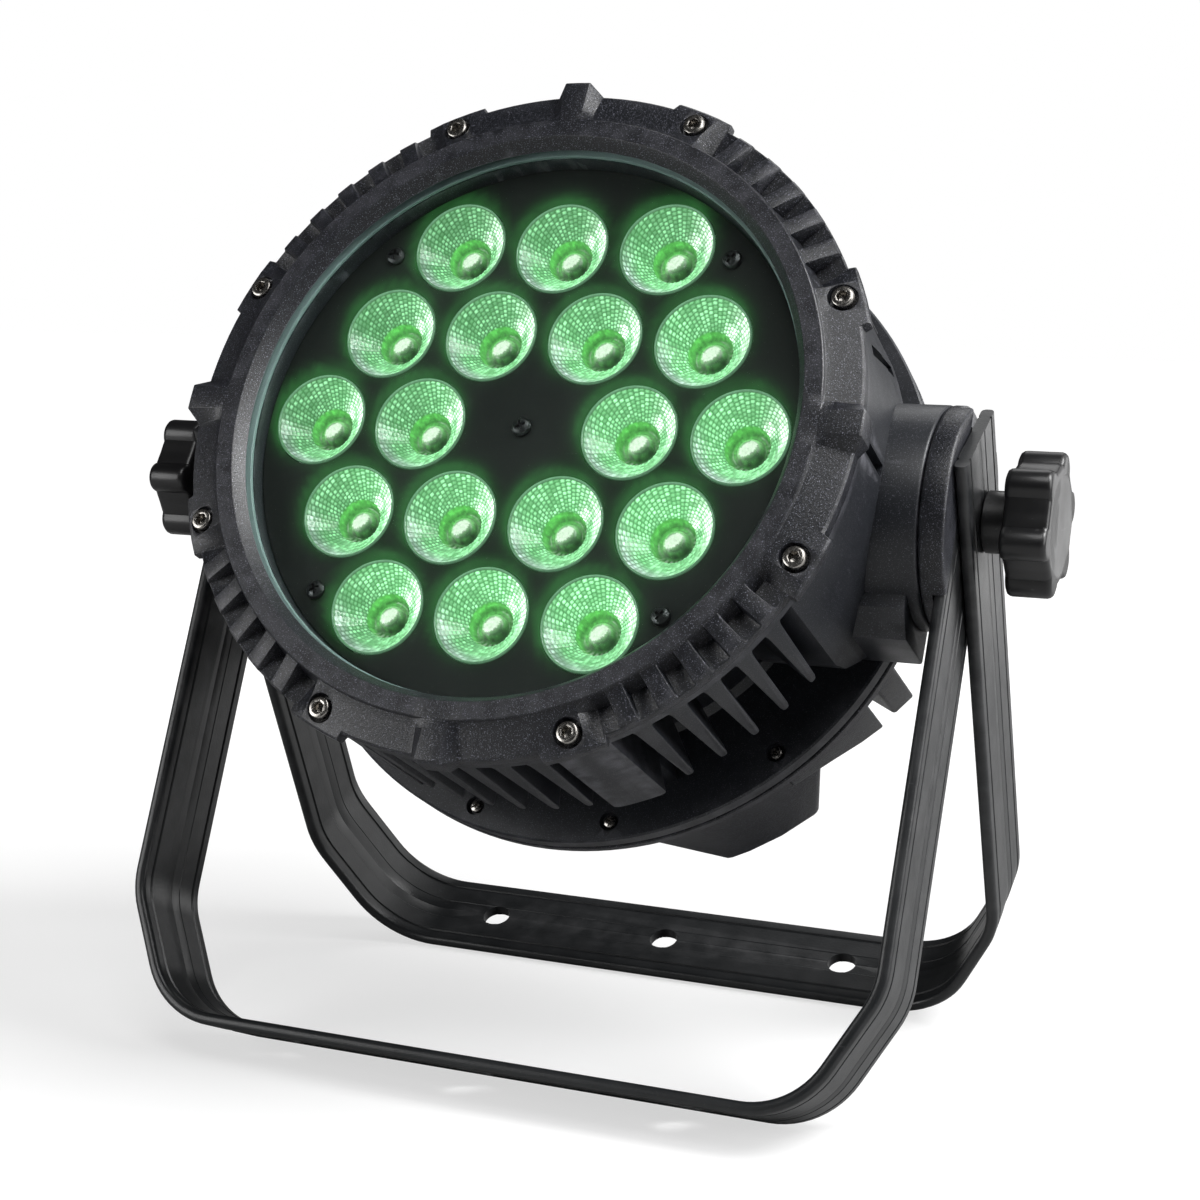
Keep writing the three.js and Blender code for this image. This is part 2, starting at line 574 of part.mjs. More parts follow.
piece(head, 'front_bezel', bezelRing(), CAST);
piece(head, 'front_glass', cylinder(GLASS_RADIUS, GLASS_FRONT - GLASS_THICKNESS, GLASS_FRONT), GLASS);
piece(head, 'bezel_gasket', turned([[LIP_RADIUS, BEZEL_BACK], [GLASS_RADIUS, BEZEL_BACK],
  [GLASS_RADIUS, BEZEL_BACK + 1.7], [LIP_RADIUS, BEZEL_BACK + 1.7]]), RUBBER);
piece(head, 'lens_plate', lensPlate(), BLACK_PLATE);
piece(head, 'led_board', ledBoard(), BOARD);
piece(head, 'housing', housing(), CAST);
piece(head, 'rear_gasket', rearGasket(), RUBBER);
piece(head, 'rear_cover', rearCover(), CAST);
piece(head, 'driver_unit', box(-62, 62, -44, 44, COVER_BACK + COVER_WALL + GAP, -42), BOARD);
piece(head, 'display_panel', displayPanel(), PANEL_PLASTIC);
piece(head, 'vent_plug', ventPlug().translate([0, VENT_HEIGHT, 0]), STEEL);
piece(head, 'safety_eye', safetyEye().translate([0, EYE_HEIGHT, 0]), STEEL);

lensCentres().forEach(([x, y], i) => {
  piece(head, `lens_${i + 1}`, lens().translate([x, y, 0]), LENS);
});
for (let i = 0; i < SCREW_COUNT; i++) {
  const [x, y] = polar(SCREW_CIRCLE, screwAngle(i));
  const screw = socketScrew(4.25, SCREW_HEAD_TOP, 4.7, 2.4, SCREW_TIP);
  piece(head, `bezel_screw_${i + 1}`, screw.translate([x, y, 0]), STEEL);
}
plateScrews.forEach(([x, y], i) => {
  const screw = socketScrew(3.8, PLATE_FRONT + GAP + 2.2, 2.2, 1.7, 57);
  piece(head, `plate_screw_${i + 1}`, screw.translate([x, y, 0]), DARK_STEEL);
});
buttonPlaces.forEach(([x, y], i) => {
  piece(head, `button_${i + 1}`, button().translate([x, y, 0]), BUTTON_PLASTIC);
});
['data_inlet', 'data_outlet', 'power_inlet', 'power_outlet'].forEach((name, i) => {
  const radius = name.startsWith('power') ? POWER_SOCKET : DATA_SOCKET;
  const x = (i - 1.5) * SOCKET_PITCH;
  piece(head, name, socket(radius).translate([x, SOCKET_ROW, 0]), RUBBER);
});

piece(front, 'front_yoke', yoke(0, LEG_TOP_FRONT), STRIP_FINISH);
piece(front, 'trunnion_disc_right', trunnionDisc(), CAST);
piece(front, 'trunnion_disc_left', trunnionDisc().mirror([1, 0, 0]), CAST);
piece(rear, 'rear_yoke', yoke(NEST, LEG_TOP_REAR), STRIP_FINISH);

const stud = alongX(cylinder(STUD_RADIUS, STUD_START, STUD_END, 12));
piece(pivot, 'knob_right', knob().rotate([KNOB_TURN_RIGHT, 0, 0]), KNOB_PLASTIC);
piece(pivot, 'knob_left', knob().mirror([1, 0, 0]).rotate([KNOB_TURN_LEFT, 0, 0]), KNOB_PLASTIC);
piece(pivot, 'clamp_stud_right', stud, STEEL);
piece(pivot, 'clamp_stud_left', stud.mirror([1, 0, 0]), STEEL);

const bounds = new THREE.Box3().setFromObject(lamp, true);
pivot.position.y = -(bounds.min.y + bounds.max.y) / 2;

export default lamp;
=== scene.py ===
"""Outdoor LED par can on its double yoke, in a plain studio."""

import json
from math import atan2, cos, degrees, exp, hypot, pi, radians, sin, sqrt, tan

import bmesh
import bpy
import numpy as np
from mathutils import Matrix, Vector


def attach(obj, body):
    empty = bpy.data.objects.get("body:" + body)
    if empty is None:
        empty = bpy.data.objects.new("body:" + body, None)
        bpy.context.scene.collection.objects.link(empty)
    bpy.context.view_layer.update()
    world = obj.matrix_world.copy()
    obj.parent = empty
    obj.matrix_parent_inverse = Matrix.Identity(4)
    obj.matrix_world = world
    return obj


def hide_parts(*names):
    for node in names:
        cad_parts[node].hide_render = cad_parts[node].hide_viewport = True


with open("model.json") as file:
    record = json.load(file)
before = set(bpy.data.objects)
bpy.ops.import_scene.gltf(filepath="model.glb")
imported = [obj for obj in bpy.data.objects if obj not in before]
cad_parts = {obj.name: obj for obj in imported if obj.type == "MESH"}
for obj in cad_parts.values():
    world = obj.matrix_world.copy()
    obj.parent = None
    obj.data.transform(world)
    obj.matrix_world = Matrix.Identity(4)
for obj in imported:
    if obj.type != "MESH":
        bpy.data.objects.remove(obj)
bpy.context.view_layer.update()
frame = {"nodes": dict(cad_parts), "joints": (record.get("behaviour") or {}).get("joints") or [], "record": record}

# ---- sizes, in millimetres in the local frame of each part
MM = 0.001
GAP = 0.3

# Head: local Z is the light's axis from the tilt axis forward, Y is up in its face.
BEZEL_BACK = 76
BEZEL_FRONT = 88
BEZEL_RADIUS = 136.5
PAD_RADIUS = 139.5
PAD_ANGLE = 5
EDGE_HEIGHT = 82.6
BAND_OUTER = 122.8
BAND_INNER = 115.5
LIP_RADIUS = 112.5
GLASS_RADIUS = 116.5
GLASS_FRONT = 82
GLASS_BACK = 78
SCREW_CIRCLE = 132
SCREW_ANGLES = [22.5 + 45 * i for i in range(8)]
PAD_FOOT = PAD_ANGLE + 0.35
DIAGONALS = (45, 135, 225, 315)
NOTCH_PITCH = 6.5
NOTCH_ANGLES = [d + (n - 2.5) * NOTCH_PITCH for d in DIAGONALS for n in range(6)]
NOTCH_HALF = 1.55
NOTCH_FOOT = NOTCH_HALF + 0.25
NOTCH_FLOOR = 79
LUG_ANGLES = (0, 90, 180, 270)
LUG_HALF = 2.05
LUG_FOOT = 3.9
LAND_TOP = BEZEL_FRONT - 1.4
COUNTERBORE_RADIUS = 5.5
COUNTERBORE_FLOOR = 80.3
SEAL_INNER = 111.7

LENS_PITCH = 44.1
# Rows of 3, 4, 5, 4 and 3 on a triangular pitch, without the middle one.
LENS_CENTRES = [((i - (4 - abs(row)) / 2) * LENS_PITCH, row * (LENS_PITCH * sqrt(3) / 2))
                for row in range(2, -3, -1) for i in range(5 - abs(row)) if row or i != 2]
LENS_RADIUS = 19.3
LENS_RIM = 69.4
PLATE_FRONT = 69
PLATE_BACK = 67
PLATE_RADIUS = 111
PLATE_SCREW_CIRCLE = 101.5
PLATE_RINGS = 48
# The plate's painted green halo round each lens: its shift and its reach.
HALO_SHIFT = (-1.9, 2.5)
HALO_REACH = 1.7

# A lens: the pillows round and down its bowl, and its depths.
FACETS = 48
RINGS = 8
FACET_STEPS = 3
BOWL_TOP = 18.4
BOWL_EDGE = 9.1
BOWL_START = 0.9
BOWL_DEPTH = 10.4
LENS_DEPTH = 19.8
LED_DEPTH = 11.9
# Inside its well: (radius, depth) over the wall, the floor and the post with the LED.
WELL = [(8.9, 11.2), (8.5, 12.6), (8.1, 14.0), (7.3, 14.8), (6.2, 15.0), (5.4, 14.8), (5.0, 13.6),
        (4.6, 12.7), (4.1, 12.4), (3.5, 12.2), (2.9, 12.1), (2.3, 12.0), (1.7, 11.95), (1.1, LED_DEPTH)]
# Painted shadow spots in the well: (x, y, width), and the oval of its LED.
WELL_SHADOWS = [(4.6, -2.2, 1.7), (-3.2, -4.6, 1.6), (4.2, -5.6, 1.5), (0.6, -5.2, 1.0)]
LED_MIDDLE = (-0.6, 0.5)
LED_HALF = (3.9, 2.4)
LED_TURN = 42
# Directions round a lens, in degrees: of the painted white flashes and grey glints, of the streaks, of the sides
# where the rim and the well's wall are brighter as painted light, and of the painted rib highlights.
FLASH = 18
INNER_FLASH = 42
GREY_GLINT_SIDE = 235
STREAKS = 300
BRIGHT_RIM = 120
BRIGHT_WALL = 135
RIBS = -50
# Light sent out, as linear colour.
RIM_LIGHT = (0.16, 0.32, 0.20)
TOP_LIGHT = (0.08, 0.22, 0.09)
DARK_LIGHT = (0.01, 0.06, 0.015)
WALL_LIGHT = (0.08, 0.36, 0.07)
LED_LIGHT = (0.95, 1.15, 0.92)

FLANGE_RADIUS = 135.8
FLANGE_BACK = 70.5
DRUM_RADIUS = 135.3
CORE_RADIUS = 115
CORE_BACK_RADIUS = 100
CHAMBER_RADIUS = 111.6
CHAMBER_FLOOR = 44
HOLLOW_FRONT = 36
HOLLOW_RADIUS = 95
FIN_BACK = 11.5
# Half of a fin's outline: (across, along the axis).
FIN_OUTLINE = [(5.2, 71.5), (4.1, 69.6), (3.55, 67.0), (3.3, 62), (1.75, 14.5), (1.45, 12.6), (0.8, 11.7),
               (0, FIN_BACK)]
FIN_ANGLES = ([d + n * 6.25 for d in DIAGONALS for n in range(-2, 3)]
              + [m + (n - 2.5) * 5.92 for m in (90, 270) for n in range(6)])
PANEL_BACK = 4
PANEL_ANGLE = 4.6
REAR_FRONT = -21
REAR_BACK = -29
REAR_RADIUS = 140
REAR_SCREW_CIRCLE = 132
REAR_SCREW_ANGLES = [m + s * 13 for m in (90, 270) for s in (-1, 1)] + list(DIAGONALS)
REAR_SCREW_SEAT = REAR_FRONT - 2.2
# The housing's arm and its foot beside the boss: (along the axis, up).
ARM_OUTLINE = [(FLANGE_BACK + 1, 63), (20, 43), (-12, 40), (REAR_FRONT - 1, 30), (REAR_FRONT - 1, -44),
               (-12, -56), (-4, -62), (6, -64), (FLANGE_BACK + 1, -64)]
FOOT_OUTLINE = [(20, -36), (19, -44), (9, -53), (-20, -53), (-20, -36)]

COVER_FRONT = -31
COVER_BACK = -86
COVER_RADIUS = 139
COVER_CORE = 112
LOBE_FRONT = (38, 73)
LOBE_BACK = (46, 64.5)
LOBE_ROOT = 100
COVER_WALL = 4
BOSS_INNER = 118

DISPLAY_CENTRE = 34
DISPLAY_HALF = (46, 27)
DISPLAY_FACE = -88.7
BUTTON_PLACES = [((i - 1.5) * 19, 18) for i in range(4)]
SOCKET_ROW = -38
SOCKET_PITCH = 42
BACK_FACE = COVER_BACK - GAP
VENT_HEIGHT = -82
EYE_HEIGHT = 84

# Trunnions and yokes.
BOSS_RADIUS = 43.5
BOSS_END = 150.9
DISC_START = 151.3
DISC_END = 161.2
STUD_BORE = 5.4
STRIP_HALF = 22.5
STRIP = 5
YOKE_HALF_WIDTH = 161.2
YOKE_DROP = 236.5
YOKE_KNEE = 186
KNEE_ANGLE = radians(27.4)
CORNER_RADIUS = 37
NEST = 5.4
MOUNT_HOLE = 6.5
MOUNT_PITCH = 87
GROOVE = 16.4
GROOVE_DEPTH = 0.65
CHANNEL = 5.8
CHANNEL_DEPTH = 0.22
KNOB_RADIUS = 28
KNOB_VALLEY = 22.6
KNOB_START = 177.3
KNOB_END = 195
KNOB_LOBE = 6.4
KNOB_BORE = 5.3
KNOB_BORE_END = 189
# How far a lobe of the right and of the left knob stands above the front, in degrees.
KNOB_TURNS = (45, 3)

# ---- studio and camera, in metres and degrees
WORLD_LIGHT = 0.03
FLOOR_SIZE = 30
LIT_POINT = (0, 0, 0.22)
# (name, place, side, watts)
LIGHTS = [("right_top", (1.2, 0, 1.5), 0.8, 32), ("right", (1.7, 0.1, 0.75), 1.0, 14),
          ("left_front", (-1.1, -1.1, 0.5), 0.8, 9), ("top_front", (0.45, -0.95, 1.75), 0.9, 11),
          ("back_top", (0, 1.3, 1.6), 1.0, 5), ("back_right", (1.1, 1.3, 0.9), 1.0, 4),
          ("behind", (0.75, 1.35, 0.12), 0.7, 2.6)]
CAMERA_AZIMUTH = 23.35
CAMERA_ELEVATION = 10.07
CAMERA_ROLL = 1.3
CAMERA_OFFSET = (0.361, -0.841, 0.297)
CAMERA_LENS = 66.7
CAMERA_SHIFT = (0.02, 0.1005)

# ---- frames
X_AXIS = Vector((1, 0, 0))
MIRROR_X = Matrix.Scale(-1, 4, X_AXIS)
SIDES = {"right": Matrix(), "left": MIRROR_X}


def named(rows, name):
    return next(row for row in rows if row["name"] == name)


MOUNTS = frame["record"]["mounts"]
PIVOT = Vector(named(frame["joints"], "head_tilt")["pos_m"])


def local_frame(up, forward):
    """Millimetres along X, up and forward from the middle of the tilt axis, to the CAD's frame."""
    turn = Matrix((X_AXIS, up, forward)).transposed().to_4x4()
    return Matrix.Translation(PIVOT) @ turn @ Matrix.Scale(MM, 4)


HEAD_AXIS = Vector(named(frame["joints"], "key_1_press")["axis"]).normalized()
FRONT_UP = -Vector(named(MOUNTS, "front_yoke_face")["axis"]).normalized()
REAR_UP = -Vector(named(MOUNTS, "rear_yoke_face")["axis"]).normalized()
HEAD = local_frame(HEAD_AXIS.cross(X_AXIS), HEAD_AXIS)
FRONT = local_frame(FRONT_UP, X_AXIS.cross(FRONT_UP))
REAR = local_frame(REAR_UP, X_AXIS.cross(REAR_UP))
LEVEL = local_frame(Vector((0, 0, 1)), Vector((0, -1, 0)))


# ---- mesh tools
def new_object(name, data):
    obj = bpy.data.objects.new(name, data)
    bpy.context.scene.collection.objects.link(obj)
    return obj


def mesh_object(verts, faces):
    mesh = bpy.data.meshes.new("shape")
    mesh.from_pydata([tuple(v) for v in verts], [], faces)
    bm = bmesh.new()
    bm.from_mesh(mesh)
    bmesh.ops.remove_doubles(bm, verts=bm.verts, dist=1e-4)
    bmesh.ops.recalc_face_normals(bm, faces=bm.faces)
    bm.to_mesh(mesh)
    bm.free()
    return new_object("shape", mesh)


def grid(rows, wrap_rows=False):
    """A tube whose rows are closed loops of points; its ends are capped unless the rows wrap."""
    count = len(rows[0])
    verts = [p for row in rows for p in row]
    faces = []
    for i in range(len(rows) if wrap_rows else len(rows) - 1):
        a, b = i * count, (i + 1) % len(rows) * count
        faces += [(a + j, a + (j + 1) % count, b + (j + 1) % count, b + j) for j in range(count)]
    if not wrap_rows:
        faces += [tuple(range(count)), tuple(range(len(verts) - count, len(verts)))]
    return mesh_object(verts, faces)


def polar(radius, angle, height=None):
    a = radians(angle)
    point = (radius * cos(a), radius * sin(a))
    return point if height is None else (*point, height)


def lathe(profile, steps=128):
    """A profile of (radius, height) turned about Z. It starts and ends on the axis, or closes."""
    rows = [[polar(r, 360 * i / steps, z) for r, z in profile] for i in range(steps)]
    count = len(profile)
    closed = profile[0][0] > 0
    faces = []
    for i in range(steps):
        a, b = i * count, (i + 1) % steps * count
        for j in range(count if closed else count - 1):
            k = (j + 1) % count
            face = [a + j, a + k, b + k, b + j]
            if profile[j][0] == 0:
                face = [a + j, a + k, b + k]
            elif profile[k][0] == 0:
                face = [a + j, a + k, b + j]
            faces.append(face)
    return mesh_object([p for row in rows for p in row], faces)


def cylinder(radius, z0, z1, steps=48):
    return lathe([(0, z0), (radius, z0), (radius, z1), (0, z1)], steps)


def prism(outline, z0, z1):
    """A flat outline in XY, extruded along Z."""
    return grid([[(x, y, z) for x, y in outline] for z in (z0, z1)])


def box(x0, x1, y0, y1, z0, z1):
    return prism([(x0, y0), (x1, y0), (x1, y1), (x0, y1)], z0, z1)


def sector(r0, r1, start, end, z0, z1):
    """Part of a tube about Z, between two angles in degrees."""
    angles = [start + (end - start) * i / 6 for i in range(7)]
    return prism([polar(r1, a) for a in angles] + [polar(r0, a) for a in reversed(angles)], z0, z1)


def moved(obj, matrix):
    obj.data.transform(matrix)
    if matrix.determinant() < 0:
        obj.data.flip_normals()
    return obj


def shifted(obj, x, y, z=0):
    return moved(obj, Matrix.Translation((x, y, z)))


def rotation(angle, axis):
    return Matrix.Rotation(radians(angle), 4, axis)


def about_z(obj, angle):
    return moved(obj, rotation(angle, "Z"))


def along_x(obj):
    """Turns local Z to X."""
    return moved(obj, rotation(90, "Y"))


def copied(obj, matrix):
    twin = obj.copy()
    twin.data = obj.data.copy()
    bpy.context.scene.collection.objects.link(twin)
    return moved(twin, matrix)


def applied(obj):
    """Bakes the object's modifiers into its mesh."""
    bpy.context.view_layer.update()
    graph = bpy.context.evaluated_depsgraph_get()
    mesh = bpy.data.meshes.new_from_object(obj.evaluated_get(graph))
    old = obj.data
    obj.modifiers.clear()
    obj.data = mesh
    bpy.data.meshes.remove(old)
    return obj


def bevelled(obj, width, segments=2, angle=60):
    modifier = obj.modifiers.new("bevel", "BEVEL")
    modifier.width = width
    modifier.segments = segments
    modifier.limit_method = "ANGLE"
    modifier.angle_limit = radians(angle)
    modifier.use_clamp_overlap = True
    return applied(obj)


def combined(obj, others, operation):
    for other in others:
        modifier = obj.modifiers.new("boolean", "BOOLEAN")
        modifier.operation = operation
        modifier.solver = "MANIFOLD"
        modifier.object = other
    applied(obj)
    for other in others:
        mesh = other.data
        bpy.data.objects.remove(other)
        bpy.data.meshes.remove(mesh)
    return obj


def union(obj, others):
    return combined(obj, others, "UNION")


def cut(obj, others):
    return combined(obj, others, "DIFFERENCE")


def install(obj, name, to_cad, body, finish, nodes=(), sharp=32):
    """Puts a finished local shape into the CAD's frame as a named piece."""
    slot, material = finish
    obj.name = obj.data.name = name
    moved(obj, to_cad)
    obj.data.shade_smooth()
    obj.data.set_sharp_from_angle(angle=radians(sharp))
    obj.data.materials.clear()
    obj.data.materials.append(material)
    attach(obj, body)
    if nodes:
        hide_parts(*nodes)


def on_head(obj, name, finish, nodes=(), sharp=32):
    install(obj, name, HEAD, "head", finish, nodes, sharp)


# ---- materials
class Nodes:
    """A short way to build the node tree of a new material, or of a world."""

    def __init__(self, name, kind="materials"):
        self.owner = getattr(bpy.data, kind).new(name)
        self.owner.use_nodes = True
        self.tree = self.owner.node_tree
        self.shader = self.tree.nodes.get("Principled BSDF")
        self.place = self.add("TexCoord").outputs["Object"]

    def add(self, kind, inputs=None, **settings):
        node = self.tree.nodes.new("ShaderNode" + kind)
        for key, value in settings.items():
            setattr(node, key, value)
        for key, value in (inputs or {}).items():
            self.put(node.inputs[key], value)
        return node

    def put(self, socket, value):
        if isinstance(value, bpy.types.NodeSocket):
            self.tree.links.new(value, socket)
        else:
            socket.default_value = value

    def set(self, **inputs):
        for key, value in inputs.items():
            self.put(self.shader.inputs[key.replace("_", " ")], value)
        return self.owner

    def noise(self, scale, detail=2, roughness=0.5, stretch=None):
        place = self.place
        if stretch:
            place = self.add("Mapping", {"Vector": place, "Scale": stretch}).outputs[0]
        inputs = {"Vector": place, "Scale": scale, "Detail": detail, "Roughness": roughness}
        return self.add("TexNoise", inputs).outputs["Fac"]

    def levels(self, value, low, high, to_low=0.0, to_high=1.0):
        inputs = {"Value": value, "From Min": low, "From Max": high, "To Min": to_low, "To Max": to_high}
        return self.add("MapRange", inputs).outputs["Result"]

    def math(self, operation, a, b):
        node = self.add("Math", operation=operation)
        self.put(node.inputs[0], a)
        self.put(node.inputs[1], b)
        return node.outputs[0]

    def times(self, a, b):
        return self.math("MULTIPLY", a, b)

    def blend(self, factor, a, b):
        node = self.add("Mix", data_type="RGBA")
        self.put(node.inputs[0], factor)
        self.put(node.inputs[6], a)
        self.put(node.inputs[7], b)
        return node.outputs[2]

    def bump(self, height, distance):
        return self.add("Bump", {"Height": height, "Distance": distance}).outputs["Normal"]

    def edge_wear_and_highlight(self, low, high, scale):
        """Patches along convex edges: wear, and on the powder coat a painted highlight as well."""
        edges = self.levels(self.add("NewGeometry").outputs["Pointiness"], low, high)
        return self.times(edges, self.levels(self.noise(scale, 3), 0.35, 0.7))

    def attribute(self, name, output="Fac"):
        return self.add("Attribute", attribute_name=name).outputs[output]


def scaled(color, factor, added=0):
    return [factor * c + added for c in color[:3]] + [1]


def powder_coat(name, base, fleck, roughness, grain):
    """Textured black powder coat with small bright flecks, lighter along its edges: a little wear and a painted
    edge highlight.
    """
    n = Nodes(name)
    orange_peel = n.noise(900, 3, 0.6)
    flecks = n.levels(n.noise(2600, 1, 0.4), 0.62, 0.74)
    handled = n.noise(28, 4, 0.6)
    cloudy = n.blend(handled, base, scaled(base, 1.35))
    color = n.blend(n.times(flecks, 0.5), cloudy, fleck)
    # Lighter convex edges: partly wear, partly a painted highlight.
    color = n.blend(n.times(n.edge_wear_and_highlight(0.52, 0.62, 140), 0.45), color, (0.22, 0.22, 0.25, 1))
    rough = n.levels(handled, 0.3, 0.7, roughness - 0.05, roughness + 0.07)
    rough = n.math("SUBTRACT", rough, n.times(flecks, 0.12))
    height = n.math("ADD", n.times(n.noise(3800, 1, 0.4), 0.5), orange_peel)
    return n.set(Base_Color=color, Roughness=rough, Normal=n.bump(height, grain))


def satin_paint(name, base, roughness):
    """Satin black coat on strip, with fine draw lines, dust and faint scratches."""
    n = Nodes(name)
    handled = n.noise(22, 4, 0.6)
    lines = n.noise(60, 5, 0.7, stretch=(0.15, 1, 30))
    scratches = n.levels(n.noise(900, 2, 0.6, stretch=(0.05, 1, 1)), 0.70, 0.76)
    dust = n.levels(n.noise(1500, 2), 0.68, 0.76)
    marks = n.times(n.math("MAXIMUM", scratches, dust), 0.16)
    color = n.blend(handled, base, scaled(base, 1.4))
    color = n.blend(marks, color, (0.2, 0.2, 0.21, 1))
    color = n.blend(n.times(n.edge_wear_and_highlight(0.515, 0.58, 110), 0.25), color, (0.15, 0.15, 0.155, 1))
    rough = n.levels(handled, 0.3, 0.7, roughness - 0.05, roughness + 0.06)
    height = n.math("ADD", n.noise(1100, 2), n.times(lines, 0.6))
    return n.set(Base_Color=color, Roughness=rough, Normal=n.bump(height, 0.00005))


def moulded(name, base, roughness, grain, coat):
    """Moulded plastic or rubber: fine grain, slight unevenness of gloss and a few scuffs."""
    n = Nodes(name)
    uneven = n.noise(45, 3, 0.6)
    scuffs = n.levels(n.noise(500, 3, 0.6, stretch=(1, 0.12, 1)), 0.66, 0.74)
    color = n.blend(uneven, base, scaled(base, 1.5, 0.002))
    color = n.blend(n.times(scuffs, 0.12), color, (0.2, 0.2, 0.2, 1))
    rough = n.levels(uneven, 0.3, 0.7, max(0.03, roughness - 0.04), roughness + 0.05)
    height = n.noise(1400, 2)
    return n.set(Base_Color=color, Roughness=rough, Normal=n.bump(height, grain), Coat_Weight=coat)


def metal(name, base, roughness):
    """Turned or pressed metal with fine machining marks."""
    n = Nodes(name)
    uneven = n.noise(300, 3, 0.6)
    marks = n.noise(1500, 3, 0.7)
    color = n.blend(uneven, scaled(base, 0.75), base)
    rough = n.levels(marks, 0.3, 0.7, roughness - 0.06, roughness + 0.10)
    return n.set(Base_Color=color, Roughness=rough, Metallic=1.0, Normal=n.bump(marks, 0.00002))


def lens_plastic():
    """Clear collimator lit by its LED: each vertex holds the light sent out there, with painted highlights,
    painted reflections and painted shade laid into that glow.
    """
    n = Nodes("lens_plastic")
    light = n.attribute("light", "Color")
    uneven = n.levels(n.noise(900, 2), 0.3, 0.7, 0.82, 1.12)
    emitted = n.add("VectorMath", {0: light, "Scale": uneven}, operation="SCALE").outputs[0]
    rough = n.levels(n.noise(700, 2), 0.3, 0.7, 0.10, 0.20)
    return n.set(Base_Color=n.blend(uneven, (0.02, 0.05, 0.025, 1), (0.03, 0.07, 0.035, 1)), Roughness=rough,
                 Emission_Color=emitted, Emission_Strength=0.92, Normal=n.bump(n.noise(900, 2), 0.00002))


def black_plate():
    """Satin black plate with painted green light beside the lenses: an emitted halo."""
    n = Nodes("black_plate")
    halo = n.attribute("glow")
    dust = n.levels(n.noise(1300, 2), 0.70, 0.78)
    cloudy = n.noise(30, 4)
    color = n.blend(cloudy, (0.006, 0.007, 0.007, 1), (0.012, 0.013, 0.013, 1))
    color = n.blend(n.times(dust, 0.25), color, (0.12, 0.12, 0.12, 1))
    # Painted light: the green halo, varied by noise.
    uneven = n.times(halo, n.levels(n.noise(60, 3), 0.25, 0.75, 0.5, 1.2))
    light = n.blend(uneven, (0, 0, 0, 1), (0.02, 0.115, 0.025, 1))
    return n.set(Base_Color=color, Roughness=n.levels(cloudy, 0.3, 0.7, 0.34, 0.46), Emission_Color=light,
                 Emission_Strength=1.0, Specular_IOR_Level=0.22, Normal=n.bump(n.noise(1600, 2), 0.00003))


def cover_glass():
    """Clear pane with a faint green tint and a few dust specks; lamps shine through it."""
    n = Nodes("cover_glass")
    dust = n.levels(n.noise(700, 3, 0.6), 0.66, 0.76)
    rough = n.times(dust, 0.12)
    n.set(Base_Color=(0.93, 0.985, 0.95, 1), Roughness=rough, IOR=1.45, Transmission_Weight=1.0)
    clear = n.add("BsdfTransparent", {"Color": (0.92, 0.98, 0.94, 1)})
    path = n.add("LightPath")
    mix = n.add("MixShader", {0: path.outputs["Is Shadow Ray"]})
    n.put(mix.inputs[1], n.shader.outputs[0])
    n.put(mix.inputs[2], clear.outputs[0])
    n.put(n.tree.nodes["Material Output"].inputs["Surface"], mix.outputs[0])
    return n.owner


def circuit_board():
    """White solder mask over a faint glass weave, for the parts seen least."""
    n = Nodes("circuit_board")
    weave = n.noise(900, 2, 0.5, stretch=(1, 3, 1))
    stains = n.noise(35, 3)
    color = n.blend(stains, (0.70, 0.70, 0.67, 1), (0.80, 0.80, 0.78, 1))
    rough = n.levels(stains, 0.3, 0.7, 0.4, 0.6)
    return n.set(Base_Color=color, Roughness=rough, Normal=n.bump(weave, 0.00003))


# Each finish is the record's material slot and the material.
CAST = "cast_housing", powder_coat(
    "cast_powder_coat", (0.006, 0.0067, 0.0088, 1), (0.42, 0.43, 0.52, 1), 0.34, 0.00015)
SMOOTH_CAST = "cast_housing", powder_coat(
    "smooth_powder_coat", (0.011, 0.0125, 0.0155, 1), (0.2, 0.2, 0.24, 1), 0.40, 0.00003)
STRIP_PAINT = "yoke_strip", satin_paint("strip_paint", (0.009, 0.010, 0.011, 1), 0.34)
KNOB_PLASTIC, SOCKET_PLASTIC, PANEL_PLASTIC, WINDOW_PLASTIC, BUTTON_PLASTIC, SEAL, GLASS_SEAL_HIGHLIGHT = (
    (slot, moulded(name, base, roughness, grain, coat)) for slot, name, base, roughness, grain, coat in (
        ("knob_plastic", "knob_plastic", (0.0045, 0.0045, 0.005, 1), 0.36, 0.000006, 0.12),
        ("socket_plastic", "socket_plastic", (0.014, 0.014, 0.015, 1), 0.45, 0.00003, 0),
        ("panel_plastic", "panel_plastic", (0.02, 0.022, 0.026, 1), 0.38, 0.00002, 0),
        ("panel_plastic", "window_plastic", (0.004, 0.006, 0.005, 1), 0.08, 0.000004, 0.6),
        ("button_plastic", "button_plastic", (0.11, 0.12, 0.13, 1), 0.5, 0.00003, 0),
        ("seal_rubber", "seal_rubber", (0.012, 0.012, 0.012, 1), 0.75, 0.00004, 0),
        # The glass seal's pale blue-grey stands for the light line along the glass edge: a painted highlight.
        ("seal_rubber", "glass_seal_highlight", (0.13, 0.17, 0.18, 1), 0.5, 0.00003, 0)))
STEEL = "stainless_steel", metal("stainless_steel", (0.46, 0.44, 0.41, 1), 0.22)
DARK_STEEL = "black_screws", metal("black_screws", (0.07, 0.07, 0.075, 1), 0.30)
LENS = "lens_plastic", lens_plastic()
PLATE = "black_plate", black_plate()
GLASS = "cover_glass", cover_glass()
BOARD = "circuit_board", circuit_board()


# ---- bezel
def apart(a, b):
    """The smallest angle between two directions, in degrees."""
    return abs((a - b + 180) % 360 - 180)


def ramp(value, start, end):
    return min(1.0, max(0.0, (value - start) / (end - start)))


def mixed(a, b, share):
    return a + (b - a) * share


